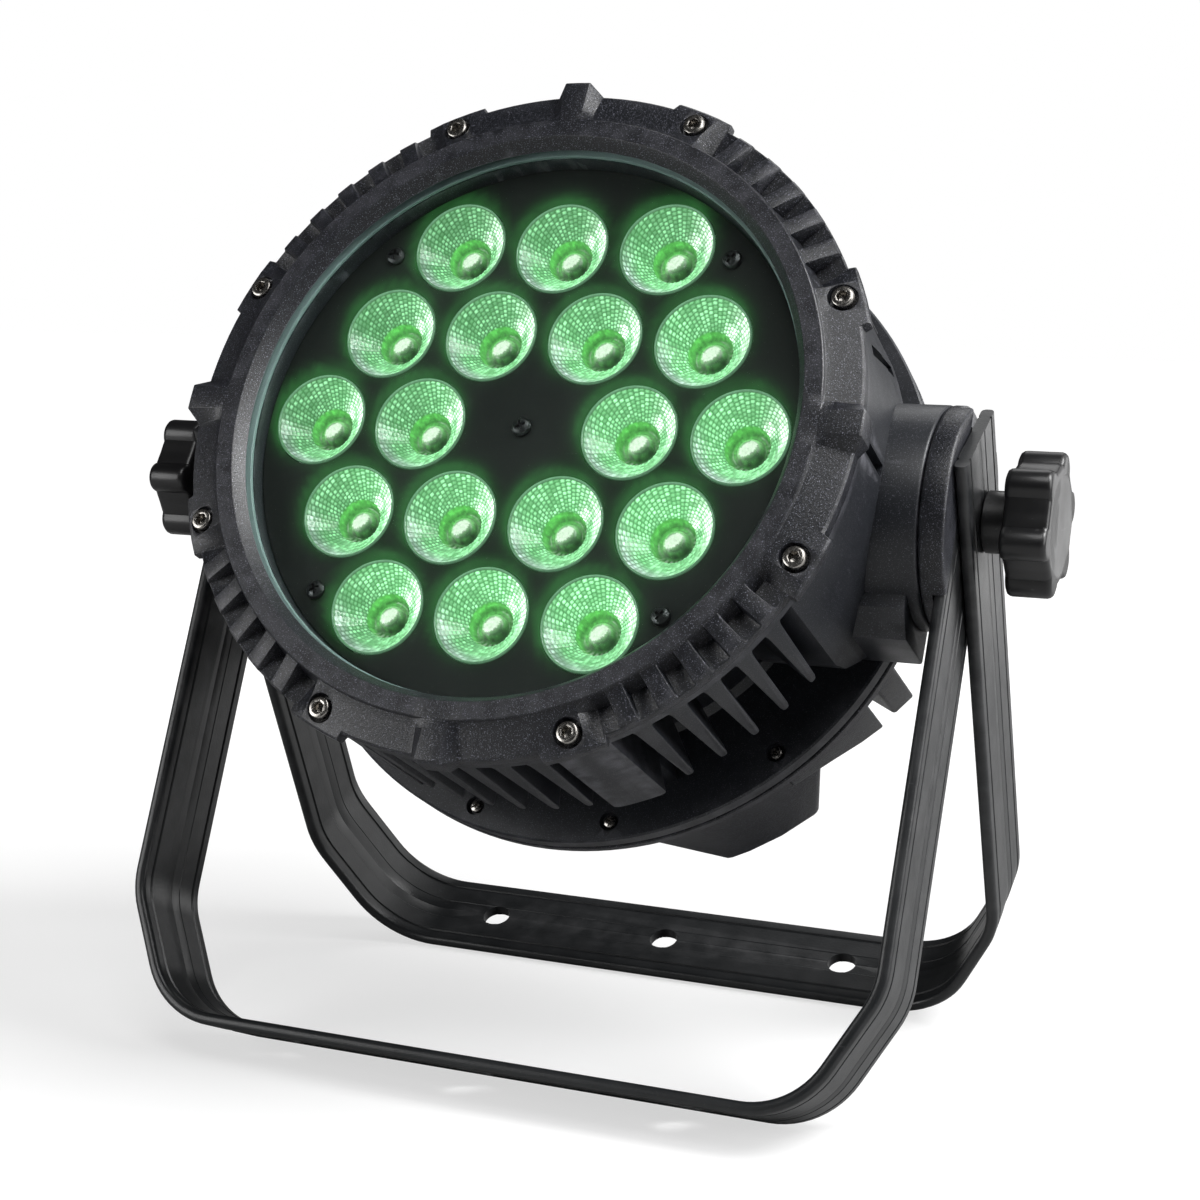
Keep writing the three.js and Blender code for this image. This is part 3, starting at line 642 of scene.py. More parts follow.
def bezel_section(angle):
    """The bezel's outline at one angle: points of (radius, height) round the section."""
    notch = 1 - ramp(min(apart(angle, a) for a in NOTCH_ANGLES), NOTCH_HALF, NOTCH_FOOT)
    lug = 1 - ramp(min(apart(angle, a) for a in LUG_ANGLES), LUG_HALF, LUG_FOOT)
    pad = 1 - ramp(min(apart(angle, a) for a in SCREW_ANGLES), PAD_ANGLE, PAD_FOOT)
    reach = mixed(BEZEL_RADIUS, PAD_RADIUS, max(pad, lug))
    slope = (LAND_TOP - EDGE_HEIGHT) / (BEZEL_RADIUS - 1 - BAND_OUTER)

    def land(radius):
        flat = LAND_TOP - slope * (radius - BAND_OUTER)
        floor = mixed(NOTCH_FLOOR - 0.8, NOTCH_FLOOR + 1.8, ramp(radius, BAND_OUTER + 2, BEZEL_RADIUS))
        return mixed(mixed(flat, floor, notch), BEZEL_FRONT, lug)

    corner = mixed(0.8, 0.5, notch)
    foot = BAND_OUTER + mixed(4, 2.2, notch)
    return [
        (GLASS_RADIUS + GAP, BEZEL_BACK), (reach - 0.6, BEZEL_BACK), (reach, BEZEL_BACK + 0.6),
        (reach, land(reach) - corner), (reach - corner, land(reach - corner)),
        (foot, land(foot)), (BAND_OUTER + 0.5, mixed(LAND_TOP, BEZEL_FRONT, lug)),
        (BAND_OUTER + 0.1, BEZEL_FRONT - 0.3 * (1 - lug)), (BAND_OUTER - 0.3, BEZEL_FRONT),
        (BAND_INNER + 0.4, BEZEL_FRONT), (BAND_INNER, BEZEL_FRONT - 0.25),
        (LIP_RADIUS + 0.3, GLASS_FRONT + 0.9), (LIP_RADIUS, GLASS_FRONT + 0.6),
        (LIP_RADIUS, GLASS_FRONT + GAP), (GLASS_RADIUS + GAP, GLASS_FRONT + GAP),
    ]


def bezel_angles():
    """Close stations where the outline steps, and even ones between."""
    angles = {round(2.5 * i, 3) for i in range(144)}
    for middles, offsets in ((NOTCH_ANGLES, (NOTCH_HALF, NOTCH_FOOT)), (LUG_ANGLES, (LUG_HALF, LUG_FOOT)),
                             (SCREW_ANGLES, (PAD_ANGLE, PAD_FOOT))):
        stations = [(m + s * o) % 360 for m in middles for o in offsets for s in (-1, 1)]
        angles = {a for a in angles if min(apart(a, s) for s in stations) > 0.6}
        angles |= {round(s, 3) for s in stations}
    return sorted(angles)


def counterbore(angle):
    hole = cylinder(COUNTERBORE_RADIUS, COUNTERBORE_FLOOR, BEZEL_FRONT + 2, 40)
    return shifted(hole, *polar(SCREW_CIRCLE, angle))


def make_bezel():
    rows = [[polar(r, angle, z) for r, z in bezel_section(angle)] for angle in bezel_angles()]
    ring = cut(grid(rows, wrap_rows=True), [counterbore(a) for a in SCREW_ANGLES])
    on_head(bevelled(ring, 0.35, 2, 38), "bezel", CAST, ["front_bezel"])


# ---- glass, plate and lenses
def make_glass():
    edge = 0.5
    pane = lathe([
        (0, GLASS_BACK), (GLASS_RADIUS - edge, GLASS_BACK), (GLASS_RADIUS, GLASS_BACK + edge),
        (GLASS_RADIUS, GLASS_FRONT - edge), (GLASS_RADIUS - edge, GLASS_FRONT), (0, GLASS_FRONT)], 160)
    on_head(pane, "glass_pane", GLASS, ["front_glass"])
    # The seal behind the glass edge is coloured as a painted highlight of that edge.
    back, front = BEZEL_BACK + GAP, GLASS_BACK - GAP
    seal = lathe([(SEAL_INNER, back), (GLASS_RADIUS, back), (GLASS_RADIUS, front), (SEAL_INNER + 0.4, front),
                  (SEAL_INNER, front - 0.3)], 160)
    on_head(seal, "glass_seal_highlight", GLASS_SEAL_HIGHLIGHT, ["bezel_gasket"])


def bowl(t):
    """A point (radius, depth) down the bowl from its top (0) to the edge of its well (1)."""
    return mixed(BOWL_TOP, BOWL_EDGE, t), BOWL_START + (BOWL_DEPTH - BOWL_START) * (t ** 0.9)


def scatter(*numbers):
    """A repeatable number from 0 to 1 that looks random."""
    value = sin(sum(n * k for n, k in zip(numbers, (12.9898, 78.233, 37.719)))) * 43758.5453
    return value % 1


def toward(angle, middle):
    """1 where two directions agree, 0 where they are square and -1 where they are opposite."""
    return cos(radians(angle - middle))


def bowl_light(angle, t, pillow, lens, sparkle):
    """Green between the pillows, paler on them, white where they flash and grey-white on one side, which are
    painted highlights and reflections; one side is also brighter, as painted light.
    """
    power, lean = lens
    across, up = polar(1, angle)
    # Painted light: the lean makes one side of the bowl brighter.
    lit = power * (1 + lean[0] * across + lean[1] * up)
    # Painted white flashes: reflections of lamps laid into the emitted light.
    flash = exp(-(apart(angle, FLASH) / 30) ** 2) * (1 - ramp(t, 0.35, 0.7))
    flash = max(flash, exp(-(apart(angle, INNER_FLASH) / 16) ** 2) * ramp(t, 0.5, 0.7))
    # Painted grey-white reflections on one side of the bowl.
    grey_glint = max(0, toward(angle, GREY_GLINT_SIDE)) ** 2 * (1 - ramp(t, 0.1, 0.5))
    green = (0.10 + 0.08 * grey_glint, 0.38 - 0.14 * grey_glint, 0.12 + 0.10 * grey_glint)
    dot = (0.42 + 0.2 * grey_glint, 0.85 - 0.2 * grey_glint, 0.50 + 0.2 * grey_glint)
    # The pillows' dots are the LED's light; their random sparkle is partly painted glints.
    glint = pillow * (0.35 + 1.3 * sparkle ** 1.5)
    white = flash * (0.34 + 1.5 * pillow * (0.35 + sparkle))
    return tuple(lit * (g + d * glint) + white for g, d in zip(green, dot))


def well_light(radius, angle, rib, sparkle):
    """The LED's bright oval, green rings round it, painted shadow spots, a wall brighter on one side as painted
    light, and painted highlights on ribs at the lower right.
    """
    x, y = polar(radius, angle)
    dx, dy = x - LED_MIDDLE[0], y - LED_MIDDLE[1]
    along, across = polar(hypot(dx, dy), degrees(atan2(dy, dx)) - LED_TURN)
    away = hypot(along / LED_HALF[0], across / LED_HALF[1])
    if away < 1:
        return LED_LIGHT
    glow = 0.35 * exp(-(away - 1) / 0.35)
    # Painted shadows: dark spots over the well.
    shade = 1.0
    for cx, cy, width in WELL_SHADOWS:
        shade *= 1 - 0.85 * exp(-((x - cx) ** 2 + (y - cy) ** 2) / width ** 2)
    rings = 1 + 0.5 * sin(3.1 * radius)
    # Painted light: the wall is brighter on one side.
    painted_wall_light = 0.8 + 0.5 * toward(angle, BRIGHT_WALL)
    color = tuple(painted_wall_light * rings * (0.7 + 0.6 * sparkle) * c for c in WALL_LIGHT)
    # Painted highlights on the ribs, on one side of the well only.
    ribbed = rib * ramp(radius, 6.5, 7.5) * ramp(toward(angle, RIBS), 0.1, 0.5)
    return tuple(shade * c + 0.30 * ribbed + glow * led for c, led in zip(color, LED_LIGHT))


def lens_columns(lens, seed):
    """At each angle, rows of (radius, depth, light) from the skirt over the bowl into the well."""
    around = FACETS * FACET_STEPS
    full = sin(pi / FACET_STEPS) ** 4
    columns = []
    for i in range(around):
        angle = 360 * i / around
        facet = i // FACET_STEPS
        across = sin(pi * (i % FACET_STEPS) / FACET_STEPS) ** 2
        shift = facet % 2
        # The rim's glow is partly the LED's light and partly a painted highlight, stronger towards BRIGHT_RIM.
        rim = tuple((0.6 + 0.6 * max(0, toward(angle, BRIGHT_RIM))) * c for c in RIM_LIGHT)
        outside = LENS_RADIUS - 0.1
        column = [(6.5, LENS_DEPTH, DARK_LIGHT), (15.2, 7.0, DARK_LIGHT), (outside, 1.7, DARK_LIGHT),
                  (outside, 0.3, rim), (LENS_RADIUS - 0.4, 0, rim), (LENS_RADIUS - 0.8, 0.1, rim),
                  (BOWL_TOP, BOWL_START, TOP_LIGHT)]
        steps = RINGS * FACET_STEPS
        streak = ramp(toward(angle, STREAKS), 0.3, 0.8)
        for j in range(1, steps + 1):
            t = j / steps
            phase = (j + shift) % FACET_STEPS
            pillow = across * sin(pi * phase / FACET_STEPS) ** 2 / full
            glow = mixed(pillow, 0.5 + 0.3 * across, streak)
            sparkle = scatter(facet, (j + shift) // FACET_STEPS, seed)
            radius, depth = bowl(t)
            column.append((radius, depth - 0.3 * pillow, bowl_light(angle, t, glow, lens, sparkle)))
        column += [(radius, depth, well_light(radius, angle, shift, scatter(facet, depth, seed)))
                   for radius, depth in WELL]
        columns.append(column)
    return columns


def lens_mesh(lens, seed):
    """The columns joined round the lens, with their light on the vertices."""
    columns = lens_columns(lens, seed)
    around, count = len(columns), len(columns[0])
    verts = [polar(r, 360 * i / around, LENS_RIM - depth)
             for i, column in enumerate(columns) for r, depth, _ in column]
    light = [color for column in columns for _, _, color in column]
    verts += [(0, 0, LENS_RIM - LENS_DEPTH), (0, 0, LENS_RIM - LED_DEPTH)]
    light += [DARK_LIGHT, LED_LIGHT]
    bottom, top = len(verts) - 2, len(verts) - 1
    faces = []
    for i in range(around):
        a, b = i * count, (i + 1) % around * count
        faces += [(a + j, b + j, b + j + 1, a + j + 1) for j in range(count - 1)]
        faces += [(bottom, b, a), (top, a + count - 1, b + count - 1)]
    mesh = bpy.data.meshes.new("lens")
    mesh.from_pydata(verts, [], faces)
    values = [c for color in light for c in (*color, 1.0)]
    mesh.attributes.new("light", "FLOAT_COLOR", "POINT").data.foreach_set("color", values)
    return mesh


def make_lenses():
    """The lenses differ in strength, at random and as painted light across the face, and most are brighter on the
    side towards the middle, also painted light.
    """
    for i, (x, y) in enumerate(LENS_CENTRES):
        # Painted light: strength rises from the upper left to the lower right of the face, besides a random share.
        power = 0.95 + 0.0010 * (x - y) + 0.12 * (scatter(i, 1) - 0.5)
        lean = (0.12 - 0.0026 * x, -0.0026 * y)
        lens = shifted(new_object("lens", lens_mesh((power, lean), i)), x, y)
        on_head(lens, f"collimator_{i + 1}", LENS, [f"lens_{i + 1}"], 180)


def make_plate():
    """The plate is a fine ring of cells, so that the painted green halo beside each lens can be set by vertex."""
    rings = [(PLATE_RADIUS * (1 - i / PLATE_RINGS), PLATE_FRONT) for i in range(PLATE_RINGS + 1)]
    blank = lathe([(0, PLATE_BACK), (PLATE_RADIUS, PLATE_BACK)] + rings, 144)
    holes = [shifted(cylinder(LENS_RADIUS + GAP, PLATE_BACK - 1, PLATE_FRONT + 1, 72), x, y)
             for x, y in LENS_CENTRES]
    cut(blank, holes)
    co = np.array([v.co[:2] for v in blank.data.vertices])
    offset = co[:, None, :] - (np.array(LENS_CENTRES) + np.array(HALO_SHIFT))[None]
    distance = np.sqrt((offset ** 2).sum(2)) - LENS_RADIUS
    halo = np.exp(-np.clip(distance, 0, None) / HALO_REACH).sum(1)
    blank.data.attributes.new("glow", "FLOAT", "POINT").data.foreach_set("value", np.clip(halo, 0, 1.2))
    on_head(blank, "face_plate", PLATE, ["lens_plate"])


# ---- screws
def hexagon(radius, z0, z1):
    return prism([polar(radius, 60 * i) for i in range(6)], z0, z1)


def socket_screw(top):
    """Cap screw with a hexagon socket."""
    head = lathe([(0, top - 18), (2.4, top - 18), (2.4, top - 4.7), (4.25, top - 4.7), (4.25, top - 0.7),
                  (3.95, top - 0.2), (3.5, top), (0, top)], 48)
    return bevelled(cut(head, [hexagon(2.3, top - 3.6, top + 1)]), 0.15, 2, 40)


def pan_screw(radius, seat, height, shank, shank_end):
    """Domed head with a cross recess."""
    top = seat + height
    head = lathe([(0, shank_end), (shank, shank_end), (shank, seat), (radius, seat),
                  (radius, seat + 0.4 * height), (0.86 * radius, seat + 0.78 * height), (0.5 * radius, top),
                  (0, top)], 40)
    arm, half = 0.56 * radius, 0.14 * radius
    recess = union(box(-arm, arm, -half, half, top - 0.6 * height, top + 1),
                   [box(-half, half, -arm, arm, top - 0.6 * height, top + 1)])
    return cut(head, [about_z(recess, 25)])


def make_screws():
    for i, angle in enumerate(SCREW_ANGLES):
        screw = shifted(about_z(socket_screw(85), 17 * i), *polar(SCREW_CIRCLE, angle))
        on_head(screw, f"socket_screw_{i + 1}", STEEL, [f"bezel_screw_{i + 1}"])
    for i, (x, y) in enumerate([(0, 0)] + [polar(PLATE_SCREW_CIRCLE, a) for a in DIAGONALS]):
        screw = shifted(about_z(pan_screw(3.8, PLATE_FRONT + GAP, 2.2, 1.7, 57), 31 * i), x, y)
        on_head(screw, f"pan_screw_{i + 1}", DARK_STEEL, [f"plate_screw_{i + 1}"])


# ---- housing
# Turns a shape drawn in (across, along the axis) and extruded in Z into a radial one at angle 0.
RADIAL = Matrix(((0, 0, 1, 0), (1, 0, 0, 0), (0, 1, 0, 0), (0, 0, 0, 1)))


def fin():
    """A tapering fin, rounded at its tip and flared where it meets the front flange."""
    left = [(-x, z) for x, z in reversed(FIN_OUTLINE[:-1])]
    wedge = prism(FIN_OUTLINE + left, CORE_BACK_RADIUS - 4, DRUM_RADIUS)
    return moved(bevelled(wedge, 0.6), RADIAL)


def panel(angle):
    """Smooth panel behind a bezel screw, with rounded rear corners, and the step behind it."""
    half = radians(PANEL_ANGLE) * DRUM_RADIUS
    corner = 2.5
    arc = [(half - corner + corner * cos(a), PANEL_BACK + corner - corner * sin(a))
           for a in (i * pi / 8 for i in range(5))]
    right = [(half, FLANGE_BACK + 1)] + arc
    outline = right + [(-x, z) for x, z in reversed(right)]
    face = moved(bevelled(prism(outline, CORE_BACK_RADIUS - 4, DRUM_RADIUS + 1), 0.5, 2, 50), RADIAL)
    rim = lathe([(DRUM_RADIUS, PANEL_BACK - 2), (DRUM_RADIUS + 5, PANEL_BACK - 2),
                 (DRUM_RADIUS + 5, FLANGE_BACK + 2), (DRUM_RADIUS, FLANGE_BACK + 2)], 180)
    face = cut(about_z(face, angle), [rim])
    step = sector(CORE_BACK_RADIUS - 4, 122, angle - PANEL_ANGLE, angle + PANEL_ANGLE, REAR_FRONT - 1,
                  PANEL_BACK + 1)
    return [face, bevelled(step, 0.5, 2, 50)]


def arm():
    """The drum's side, from which the trunnion boss stands out."""
    blank = along_x(prism([(-z, y) for z, y in ARM_OUTLINE], CORE_BACK_RADIUS - 12, 136))
    drum = cylinder(DRUM_RADIUS + 0.4, REAR_FRONT - 2, FLANGE_BACK + 2, 180)
    side = combined(blank, [drum], "INTERSECT")
    boss = along_x(bevelled(cylinder(BOSS_RADIUS, 94, BOSS_END, 96), 1.2, 3))
    foot = along_x(prism([(-z, y) for z, y in FOOT_OUTLINE], 110, 146))
    return union(side, [boss, bevelled(foot, 1.0)])


def arm_grooves():
    """Two slots in the top of the arm."""
    upper = moved(box(121, 150, -2, 2, 12, 62), rotation(16, "X"))
    return [shifted(upper, 0, 58, 2), box(129, 150, -2.5, 2.5, 44, 68)]


def make_housing():
    body = lathe([
        (HOLLOW_RADIUS, REAR_BACK), (REAR_RADIUS - 0.8, REAR_BACK), (REAR_RADIUS, REAR_BACK + 0.8),
        (REAR_RADIUS, REAR_FRONT - 0.8), (REAR_RADIUS - 0.8, REAR_FRONT), (CORE_BACK_RADIUS + 3, REAR_FRONT),
        (CORE_BACK_RADIUS, REAR_FRONT + 3), (CORE_BACK_RADIUS, 30), (CORE_RADIUS, 36),
        (CORE_RADIUS, FLANGE_BACK - 2), (CORE_RADIUS + 2, FLANGE_BACK), (FLANGE_RADIUS - 0.6, FLANGE_BACK),
        (FLANGE_RADIUS, FLANGE_BACK + 0.6), (FLANGE_RADIUS, BEZEL_BACK - GAP - 0.8),
        (FLANGE_RADIUS - 0.8, BEZEL_BACK - GAP), (CHAMBER_RADIUS, BEZEL_BACK - GAP),
        (CHAMBER_RADIUS, CHAMBER_FLOOR), (0, CHAMBER_FLOOR), (0, HOLLOW_FRONT),
        (HOLLOW_RADIUS, HOLLOW_FRONT)], 180)
    added = [about_z(fin(), angle) for angle in FIN_ANGLES]
    for angle in SCREW_ANGLES:
        added += panel(angle)
    side = arm()
    added += [side, copied(side, MIRROR_X)]
    removed = arm_grooves()
    removed += [copied(groove, MIRROR_X) for groove in list(removed)]
    removed.append(cylinder(BOSS_INNER, REAR_BACK - 30, REAR_BACK, 96))
    removed.append(cylinder(CHAMBER_RADIUS, CHAMBER_FLOOR, BEZEL_BACK + 1, 180))
    removed.append(cylinder(HOLLOW_RADIUS, REAR_BACK - 20, HOLLOW_FRONT, 96))
    bore = along_x(cylinder(STUD_BORE, 113, BOSS_END + 1, 32))
    removed += [copied(bore, MIRROR_X), bore]
    removed += [shifted(cylinder(2.7, 64, BEZEL_BACK + 1, 24), *polar(SCREW_CIRCLE, a)) for a in SCREW_ANGLES]
    rear_places = [polar(REAR_SCREW_CIRCLE, a) for a in REAR_SCREW_ANGLES]
    removed += [shifted(cylinder(4.0, REAR_SCREW_SEAT, REAR_FRONT + 1, 32), *place) for place in rear_places]
    on_head(cut(union(body, added), removed), "cast_housing", SMOOTH_CAST, ["housing"])
    for i, place in enumerate(rear_places, 1):
        screw = shifted(pan_screw(2.7, REAR_SCREW_SEAT, 1.9, 1.5, REAR_SCREW_SEAT - 0.1), *place)
        on_head(screw, f"flange_screw_{i}", STEEL)


# ---- rear of the head
# The four mirror images of an angle in degrees.
QUARTERS = (lambda a: a, lambda a: 180 - a, lambda a: 180 + a, lambda a: 360 - a)


def boss_rooms():
    """Room in the cover's skirt for the two trunnion bosses."""
    room = along_x(cylinder(BOSS_RADIUS + 0.6, 90, 160, 96))
    room = cut(room, [cylinder(BOSS_INNER - GAP, COVER_BACK - 5, BEZEL_BACK, 96)])
    return [room, copied(room, MIRROR_X)]


def slab(mirrored, stations):
    """Part of the cover's skirt, between angles, with a given back edge at each."""
    return grid([[polar(r, mirrored(angle), z) for r, z in (
        (COVER_CORE - 4, COVER_FRONT - 1), (COVER_RADIUS, COVER_FRONT - 1), (COVER_RADIUS, back),
        (COVER_CORE - 4, back))] for angle, back in stations])


def lobe(mirrored, inset, back, front):
    """Raised corner of the cover, narrower at its back; `inset` draws it in on all sides."""
    margin = degrees(inset / COVER_RADIUS)
    rows = []
    for (start, end), z in ((LOBE_BACK, back), (LOBE_FRONT, front)):
        angles = [mixed(start + margin, end - margin, share) for share in (0, 0.43, 0.75, 1)]
        rows.append([polar(COVER_RADIUS - inset, mirrored(a), z) for a in angles]
                    + [polar(LOBE_ROOT, mirrored(a), z) for a in reversed(angles)])
    return grid(rows)


def make_cover():
    inside, floor = COVER_CORE - COVER_WALL, COVER_BACK + COVER_WALL
    shell = lathe([
        (0, COVER_BACK), (COVER_CORE - 4, COVER_BACK), (COVER_CORE - 1.2, COVER_BACK + 1.2),
        (COVER_CORE, COVER_BACK + 4), (COVER_CORE, COVER_FRONT - 6), (COVER_CORE + 1, COVER_FRONT - 5),
        (REAR_RADIUS - 0.8, COVER_FRONT - 5), (REAR_RADIUS, COVER_FRONT - 4.2),
        (REAR_RADIUS, COVER_FRONT - 0.5), (REAR_RADIUS - 0.5, COVER_FRONT),
        (inside, COVER_FRONT), (inside, floor), (0, floor)], 160)
    added, removed = [], []
    for mirrored in QUARTERS:
        added.append(bevelled(lobe(mirrored, 0, COVER_BACK, COVER_FRONT - 1), 3.5, 4, 25))
        removed.append(lobe(mirrored, COVER_WALL, floor + 2, COVER_FRONT - 5))
        added.append(bevelled(slab(mirrored, [(20.5, -76), (25.5, -68)]), 1.6, 3, 40))
        step = slab(mirrored, [(28.3, -66), (33, -58.5), (38.5, -50), (46.5, -44)])
        added.append(bevelled(step, 1.2, 3, 40))
    removed.append(cylinder(inside, floor, COVER_FRONT + 1, 160))
    removed += boss_rooms()
    removed += [box(x - 5.2, x + 5.2, y - 5.2, y + 5.2, COVER_BACK - 1, COVER_BACK + 3)
                for x, y in BUTTON_PLACES]
    on_head(cut(union(shell, added), removed), "back_cover", CAST, ["rear_cover"])


def rounded_box(x0, x1, y0, y1, z0, z1, radius, steps=5):
    """A box whose upright edges are round."""
    corners = ((x1 - radius, y1 - radius, 0), (x0 + radius, y1 - radius, 90),
               (x0 + radius, y0 + radius, 180), (x1 - radius, y0 + radius, 270))
    outline = []
    for x, y, start in corners:
        for i in range(steps + 1):
            dx, dy = polar(radius, start + 90 * i / steps)
            outline.append((x + dx, y + dy))
    return prism(outline, z0, z1)


def make_display():
    """A frame with a dark blank window, four screws and four push buttons."""
    w, h = DISPLAY_HALF
    bezel = rounded_box(-w, w, DISPLAY_CENTRE - h, DISPLAY_CENTRE + h, DISPLAY_FACE, BACK_FACE, 4)
    cuts = [rounded_box(x - 4.9, x + 4.9, y - 4.9, y + 4.9, DISPLAY_FACE - 1, COVER_BACK + 1, 1.2)
            for x, y in BUTTON_PLACES]
    low, high = DISPLAY_CENTRE - 4, DISPLAY_CENTRE + 18
    cuts.append(rounded_box(-26, 26, low, high, DISPLAY_FACE - 1, DISPLAY_FACE + 0.8, 1.5))
    corners = [(sx * (w - 5), DISPLAY_CENTRE + sy * (h - 5)) for sx in (-1, 1) for sy in (-1, 1)]
    cuts += [shifted(cylinder(2.6, DISPLAY_FACE - 1, DISPLAY_FACE + 1.1, 32), x, y) for x, y in corners]
    on_head(cut(bevelled(bezel, 0.6), cuts), "display_frame", PANEL_PLASTIC, ["display_panel"])
    window = rounded_box(-25.8, 25.8, low + 0.2, high - 0.2, DISPLAY_FACE + 0.15, DISPLAY_FACE + 0.78, 1.4)
    on_head(bevelled(window, 0.15), "display_window", WINDOW_PLASTIC)
    for i, (x, y) in enumerate(corners, 1):
        screw = moved(pan_screw(2.4, 0.1, 0.9, 1.0, 0), rotation(180, "X"))
        on_head(shifted(screw, x, y, DISPLAY_FACE + 1.1), f"display_screw_{i}", STEEL)
    for i, (x, y) in enumerate(BUTTON_PLACES, 1):
        key = bevelled(rounded_box(-4.5, 4.5, -4.5, 4.5, DISPLAY_FACE - 2, COVER_BACK + 1.7, 1.0), 0.5, 3)
        key = shifted(key, x, y)
        install(key, f"key_cap_{i}", HEAD, f"key_{i}", BUTTON_PLASTIC, [f"button_{i}"])


def chassis_socket(radius, power):
    """Round chassis connector: flange, ribbed collar, a deep mouth and its contacts."""
    back, face = COVER_BACK - 17, BACK_FACE
    shell = lathe([
        (0, back + 9), (radius - 2.5, back + 9), (radius - 2.5, back + 0.5), (radius - 2, back),
        (radius - 0.6, back), (radius, back + 0.6), (radius, back + 5), (radius - 0.7, back + 5.4),
        (radius - 0.7, back + 6.6), (radius, back + 7), (radius, face - 3), (radius + 2.6, face - 3),
        (radius + 3, face - 2.5), (radius + 3, face), (0, face)], 72)
    ribs = [about_z(box(radius - 1, radius + 0.45, -0.5, 0.5, back + 7.6, face - 3.5), 15 * k)
            for k in range(24)]
    key = box(radius - 3.6, radius - 1, -1.2, 1.2, back + 1.5, back + 9.5)
    pin_circle = 4.2 if power else 3.4
    pins = [shifted(lathe([(0, back + 9.5), (0.9, back + 9.5), (0.9, back + 3.2), (0.5, back + 2.6),
                           (0, back + 2.6)][::-1], 16), *polar(pin_circle, 120 * k + 30)) for k in range(3)]
    return union(shell, ribs + [about_z(key, 90)]), pins


def make_rear_fittings():
    """Two data and two power sockets, the pressure vent and the safety eye."""
    face = BACK_FACE
    for i, name in enumerate(("data_inlet", "data_outlet", "power_inlet", "power_outlet")):
        power = name.startswith("power")
        x = (i - 1.5) * SOCKET_PITCH
        shell, pins = chassis_socket(12 if power else 10, power)
        on_head(shifted(shell, x, SOCKET_ROW), name + "_shell", SOCKET_PLASTIC, [name])
        for k, pin in enumerate(pins):
            on_head(shifted(pin, x, SOCKET_ROW), f"{name}_pin_{k + 1}", STEEL)
    nut = bevelled(hexagon(8, face - 2.5, face), 0.5, 2, 50)
    dome = lathe([(0, face - 6), (3.5, face - 6), (5.2, face - 5.6), (6, face - 4.8), (6, face - 2),
                  (0, face - 2)], 48)
    slits = [about_z(box(-7, 7, -0.35, 0.35, face - 4.4, face - 3.4), 45 * k) for k in range(4)]
    vent = cut(union(nut, [dome]), slits)
    on_head(shifted(vent, 0, VENT_HEIGHT), "vent_cap", STEEL, ["vent_plug"])
    make_safety_eye(face, face - 12, 8.5, 2.5)


def make_safety_eye(face, middle, radius, bar):
    """A round bar bent to a loop about `middle`, on a flat foot."""
    rows = []
    for i in range(64):
        turn = 2 * pi * i / 64
        rows.append([(bar * sin(b), (radius + bar * cos(b)) * cos(turn),
                      middle + (radius + bar * cos(b)) * sin(turn))
                     for b in (2 * pi * k / 16 for k in range(16))])
    loop = grid(rows, wrap_rows=True)
    stem = bevelled(box(-2.6, 2.6, -4.5, 4.5, middle + 7.2, face - 1), 0.8, 2, 50)
    foot = bevelled(rounded_box(-8, 8, -10, 10, face - 3, face, 3), 0.6, 2, 50)
    eye = shifted(union(loop, [stem, foot]), 0, EYE_HEIGHT)
    on_head(eye, "safety_loop", STEEL, ["safety_eye"])


# ---- yokes
def strip_section():
    """The strip's outline, (across, out of its outer face): round edges, grooves, a shallow channel."""
    left = [(0, -0.30), (-0.3, -CHANNEL_DEPTH), (-CHANNEL, -CHANNEL_DEPTH), (-CHANNEL - 0.3, 0),
            (-GROOVE + 0.9, 0), (-GROOVE + 0.45, -GROOVE_DEPTH), (-GROOVE - 0.45, -GROOVE_DEPTH),
            (-GROOVE - 0.9, 0)]
    left += [(-STRIP_HALF + 2 - 2 * sin(a), -2 + 2 * cos(a))
             for a in (i * pi / 8 for i in range(5))]
    top = [(-x, y) for x, y in reversed(left[1:])] + left
    bottom = [(x, -STRIP - y) for x, y in reversed(top)]
    return top + bottom


def half_path(out, leg_top):
    """The right half of the path of the face `out` mm outside the front yoke: (x, drop)."""
    centre_drop = YOKE_DROP - CORNER_RADIUS
    knee_start = YOKE_KNEE - 9
    leg_x = YOKE_HALF_WIDTH + out
    rise = (centre_drop - YOKE_KNEE) * sin(KNEE_ANGLE)
    centre_x = YOKE_HALF_WIDTH - (CORNER_RADIUS + rise) / cos(KNEE_ANGLE)
    points = [(leg_x, -leg_top), (leg_x, knee_start)]
    knee = (YOKE_KNEE - knee_start) / tan(KNEE_ANGLE / 2) + out
    for i in range(1, 7):
        a = KNEE_ANGLE * i / 6
        points.append((leg_x - knee * (1 - cos(a)), knee_start + knee * sin(a)))
    corner = CORNER_RADIUS + out
    for i in range(13):
        a = KNEE_ANGLE + (pi / 2 - KNEE_ANGLE) * i / 12
        points.append((centre_x + corner * cos(a), centre_drop + corner * sin(a)))
    return points


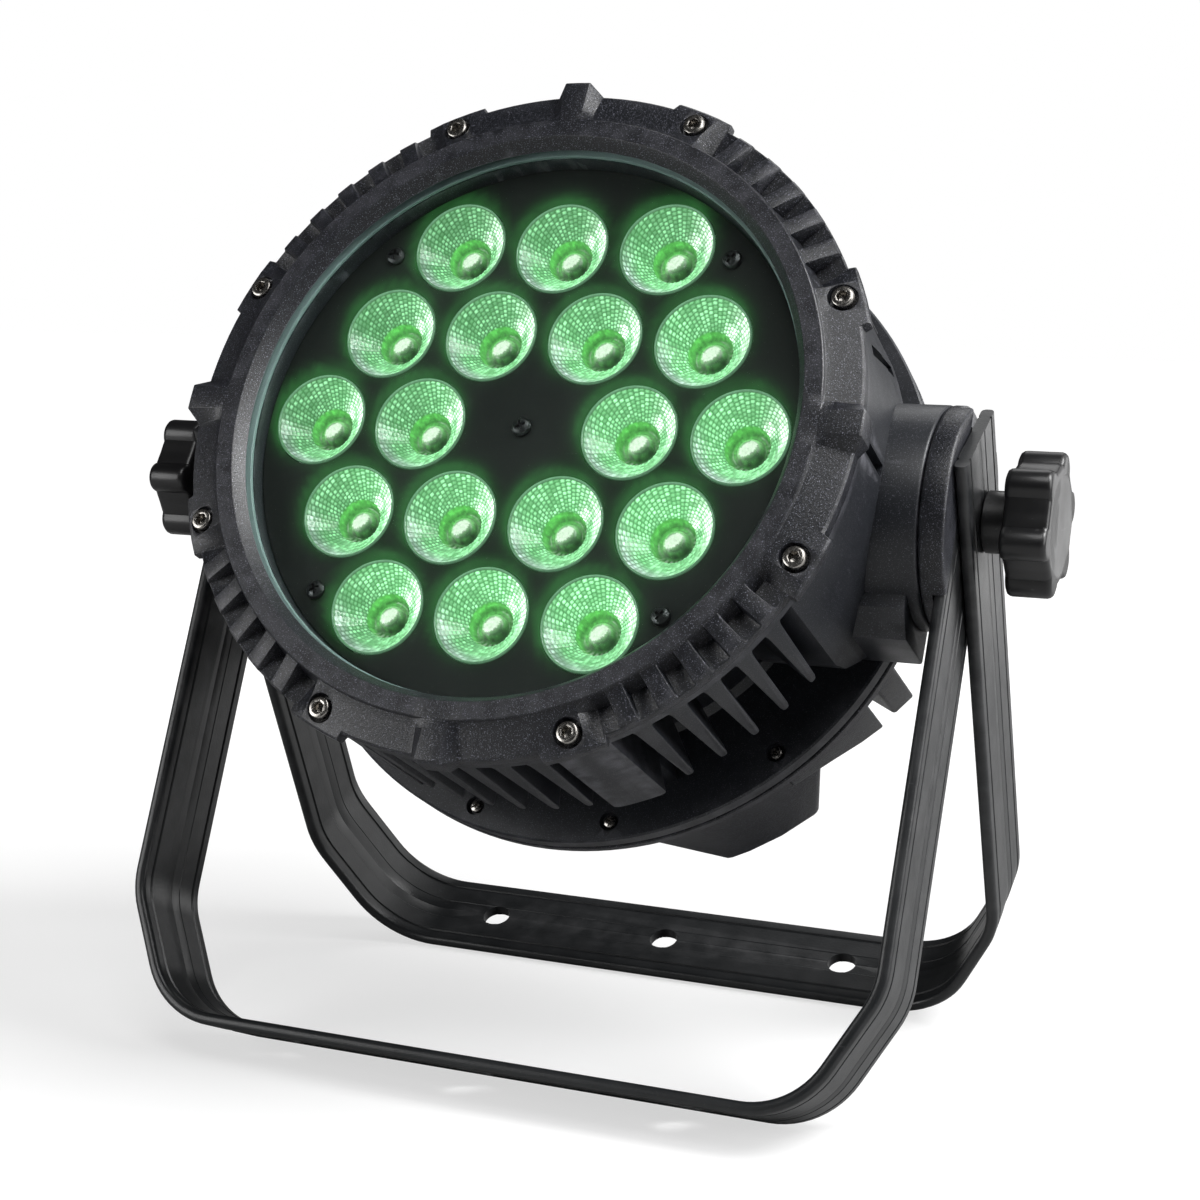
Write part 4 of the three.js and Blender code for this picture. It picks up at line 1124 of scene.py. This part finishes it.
def make_yoke(which, out, leg_top, to_cad):
    """A bent strip whose outer face lies `out` mm outside the front yoke's, with its five holes."""
    section = strip_section()
    right = [[(mixed(xo, xi, -depth / STRIP), -mixed(do, di, -depth / STRIP), across)
              for across, depth in section]
             for (xo, do), (xi, di) in zip(half_path(out, leg_top), half_path(out - STRIP, leg_top))]
    left = [[(-x, y, z) for x, y, z in row] for row in reversed(right)]
    strip = grid(right + left)
    far = YOKE_DROP + out
    hole = moved(cylinder(MOUNT_HOLE, far - STRIP - 2, far + 2, 40), rotation(90, "X"))
    holes = [hole] + [copied(hole, Matrix.Translation((s * MOUNT_PITCH, 0, 0))) for s in (-1, 1)]
    bore = along_x(cylinder(STUD_BORE, 150, 175, 32))
    holes += [bore, copied(bore, MIRROR_X)]
    cut(strip, holes)
    install(strip, which + "_strip", to_cad, which + "_stand", STRIP_PAINT, [which + "_yoke"], 24)


def make_disc(side):
    """Trunnion disc with a slot across its outer face for the front yoke's leg."""
    blank = along_x(bevelled(cylinder(BOSS_RADIUS, DISC_START, DISC_END, 96), 1.3, 3))
    slot = box(YOKE_HALF_WIDTH - STRIP - GAP, DISC_END + 1, -60, 60, -STRIP_HALF - GAP, STRIP_HALF + GAP)
    disc = cut(blank, [slot, along_x(cylinder(STUD_BORE, DISC_START - 1, DISC_END + 1, 32))])
    moved(disc, SIDES[side])
    install(disc, side + "_disc", FRONT, "front_stand", CAST, ["trunnion_disc_" + side])


# ---- knobs
def knob_outline(inset):
    """Six round lobes joined by hollows: the farther of a lobe's circle and the valley's curve."""
    reach = KNOB_RADIUS - KNOB_LOBE
    outline = []
    for a in range(0, 360, 2):
        off = radians(abs((a + 30) % 60 - 30))
        side = reach * sin(off)
        circle = 0
        if side < KNOB_LOBE:
            circle = reach * cos(off) + sqrt(KNOB_LOBE ** 2 - side ** 2)
        valley = KNOB_VALLEY + 2.6 * (1 - degrees(off) / 30) ** 1.6
        outline.append(polar(max(circle, valley) - inset, a))
    return outline


def make_knob(side, turn):
    """A star grip on a collar, with a shallow dish in its face and six marks behind its lobes."""
    start = YOKE_HALF_WIDTH + NEST + GAP
    layers = [(KNOB_START, 2.0), (KNOB_START + 0.5, 0.8), (KNOB_START + 1.5, 0.15), (KNOB_START + 2.5, 0.0),
              (KNOB_END - 2.2, 0.0), (KNOB_END - 1.1, 0.35), (KNOB_END - 0.3, 1.1), (KNOB_END, 2.4)]
    grip = grid([[(x, y, z) for x, y in knob_outline(inset)] for z, inset in layers])
    collar = lathe([(0, start), (11.4, start), (12, start + 0.6), (12, KNOB_START + 2),
                    (0, KNOB_START + 2)], 64)
    dish = lathe([(0, KNOB_END - 0.9), (5, KNOB_END - 0.86), (7.4, KNOB_END - 0.62), (10.5, KNOB_END - 0.58),
                  (14, KNOB_END - 0.45), (20, KNOB_END + 0.1), (20, KNOB_END + 1), (0, KNOB_END + 1)], 96)
    marks = [shifted(cylinder(1.3, KNOB_START - 1, KNOB_START + 0.4, 20), *polar(19.5, 60 * k))
             for k in range(6)]
    bore = cylinder(KNOB_BORE, start - 1, KNOB_BORE_END, 40)
    knob = along_x(cut(union(grip, [collar]), [dish, bore] + marks))
    moved(moved(knob, rotation(-turn, "X")), SIDES[side])
    install(knob, side + "_grip", LEVEL, side + "_knob", KNOB_PLASTIC, ["knob_" + side], 40)


def leave_cad(node, finish):
    """Gives a CAD node that stays as it is its finish."""
    mesh = frame["nodes"][node].data
    mesh.materials.clear()
    mesh.materials.append(finish[1])


# ---- lights, floor and camera
def area_light(name, place, side, power):
    light = bpy.data.lights.new(name, "AREA")
    light.size = side
    light.energy = power
    lamp = new_object(name, light)
    lamp.location = place
    lamp.rotation_euler = (Vector(LIT_POINT) - Vector(place)).to_track_quat("-Z", "Y").to_euler()


def make_world():
    """White where the camera sees it, and dim for everything that it lights."""
    n = Nodes("studio", "worlds")
    bpy.context.scene.world = n.owner
    seen = n.add("LightPath").outputs["Is Camera Ray"]
    shade = n.blend(seen, (WORLD_LIGHT, WORLD_LIGHT, WORLD_LIGHT, 1), (1, 1, 1, 1))
    n.put(n.tree.nodes["Background"].inputs["Color"], shade)


def make_studio():
    """A white floor, a little grey near the object so that its shadow shows, and lights."""
    n = Nodes("studio_floor")
    tone = n.noise(3, 3)
    place = n.add("NewGeometry").outputs["Position"]
    distance = n.add("VectorMath", {0: place}, operation="LENGTH").outputs["Value"]
    seen = n.add("LightPath").outputs["Is Camera Ray"]
    glow = n.times(seen, n.levels(distance, 0.35, 1.3, 0.62, 1.0))
    n.set(Base_Color=n.blend(tone, (0.40, 0.40, 0.40, 1), (0.42, 0.42, 0.42, 1)), Roughness=0.8,
          Emission_Color=(1, 1, 1, 1), Emission_Strength=glow, Specular_IOR_Level=0.0)
    corners = ((-1, -1), (1, -1), (1, 1), (-1, 1))
    floor = mesh_object([(FLOOR_SIZE * x, FLOOR_SIZE * y, 0) for x, y in corners], [(0, 1, 2, 3)])
    floor.name = "floor"
    floor.data.materials.append(n.owner)
    make_world()
    for row in LIGHTS:
        area_light(*row)
    bpy.context.scene.view_settings.view_transform = "Standard"


def make_camera():
    data = bpy.data.cameras.new("camera")
    data.lens = CAMERA_LENS
    data.shift_x, data.shift_y = CAMERA_SHIFT
    data.clip_start = 0.01
    camera = new_object("camera", data)
    a, e = radians(CAMERA_AZIMUTH), radians(CAMERA_ELEVATION)
    back = Vector((sin(a) * cos(e), -cos(a) * cos(e), sin(e)))
    turn = back.to_track_quat("Z", "Y") @ rotation(CAMERA_ROLL, "Z").to_quaternion()
    camera.rotation_euler = turn.to_euler()
    camera.location = Vector(CAMERA_OFFSET) + Vector((0, PIVOT.y, 0))
    bpy.context.scene.camera = camera


# ---- the model
make_camera()
make_studio()
make_bezel()
make_glass()
make_plate()
make_lenses()
make_screws()
make_housing()
make_cover()
make_display()
make_rear_fittings()
make_yoke("front", 0, 30, FRONT)
make_yoke("rear", NEST, 36, REAR)
for side_name in SIDES:
    make_disc(side_name)
for side_name, knob_turn in zip(SIDES, KNOB_TURNS):
    make_knob(side_name, knob_turn)
for side_name in SIDES:
    leave_cad("clamp_stud_" + side_name, STEEL)
leave_cad("rear_gasket", SEAL)
for cad_node in ("led_board", "driver_unit"):
    leave_cad(cad_node, BOARD)
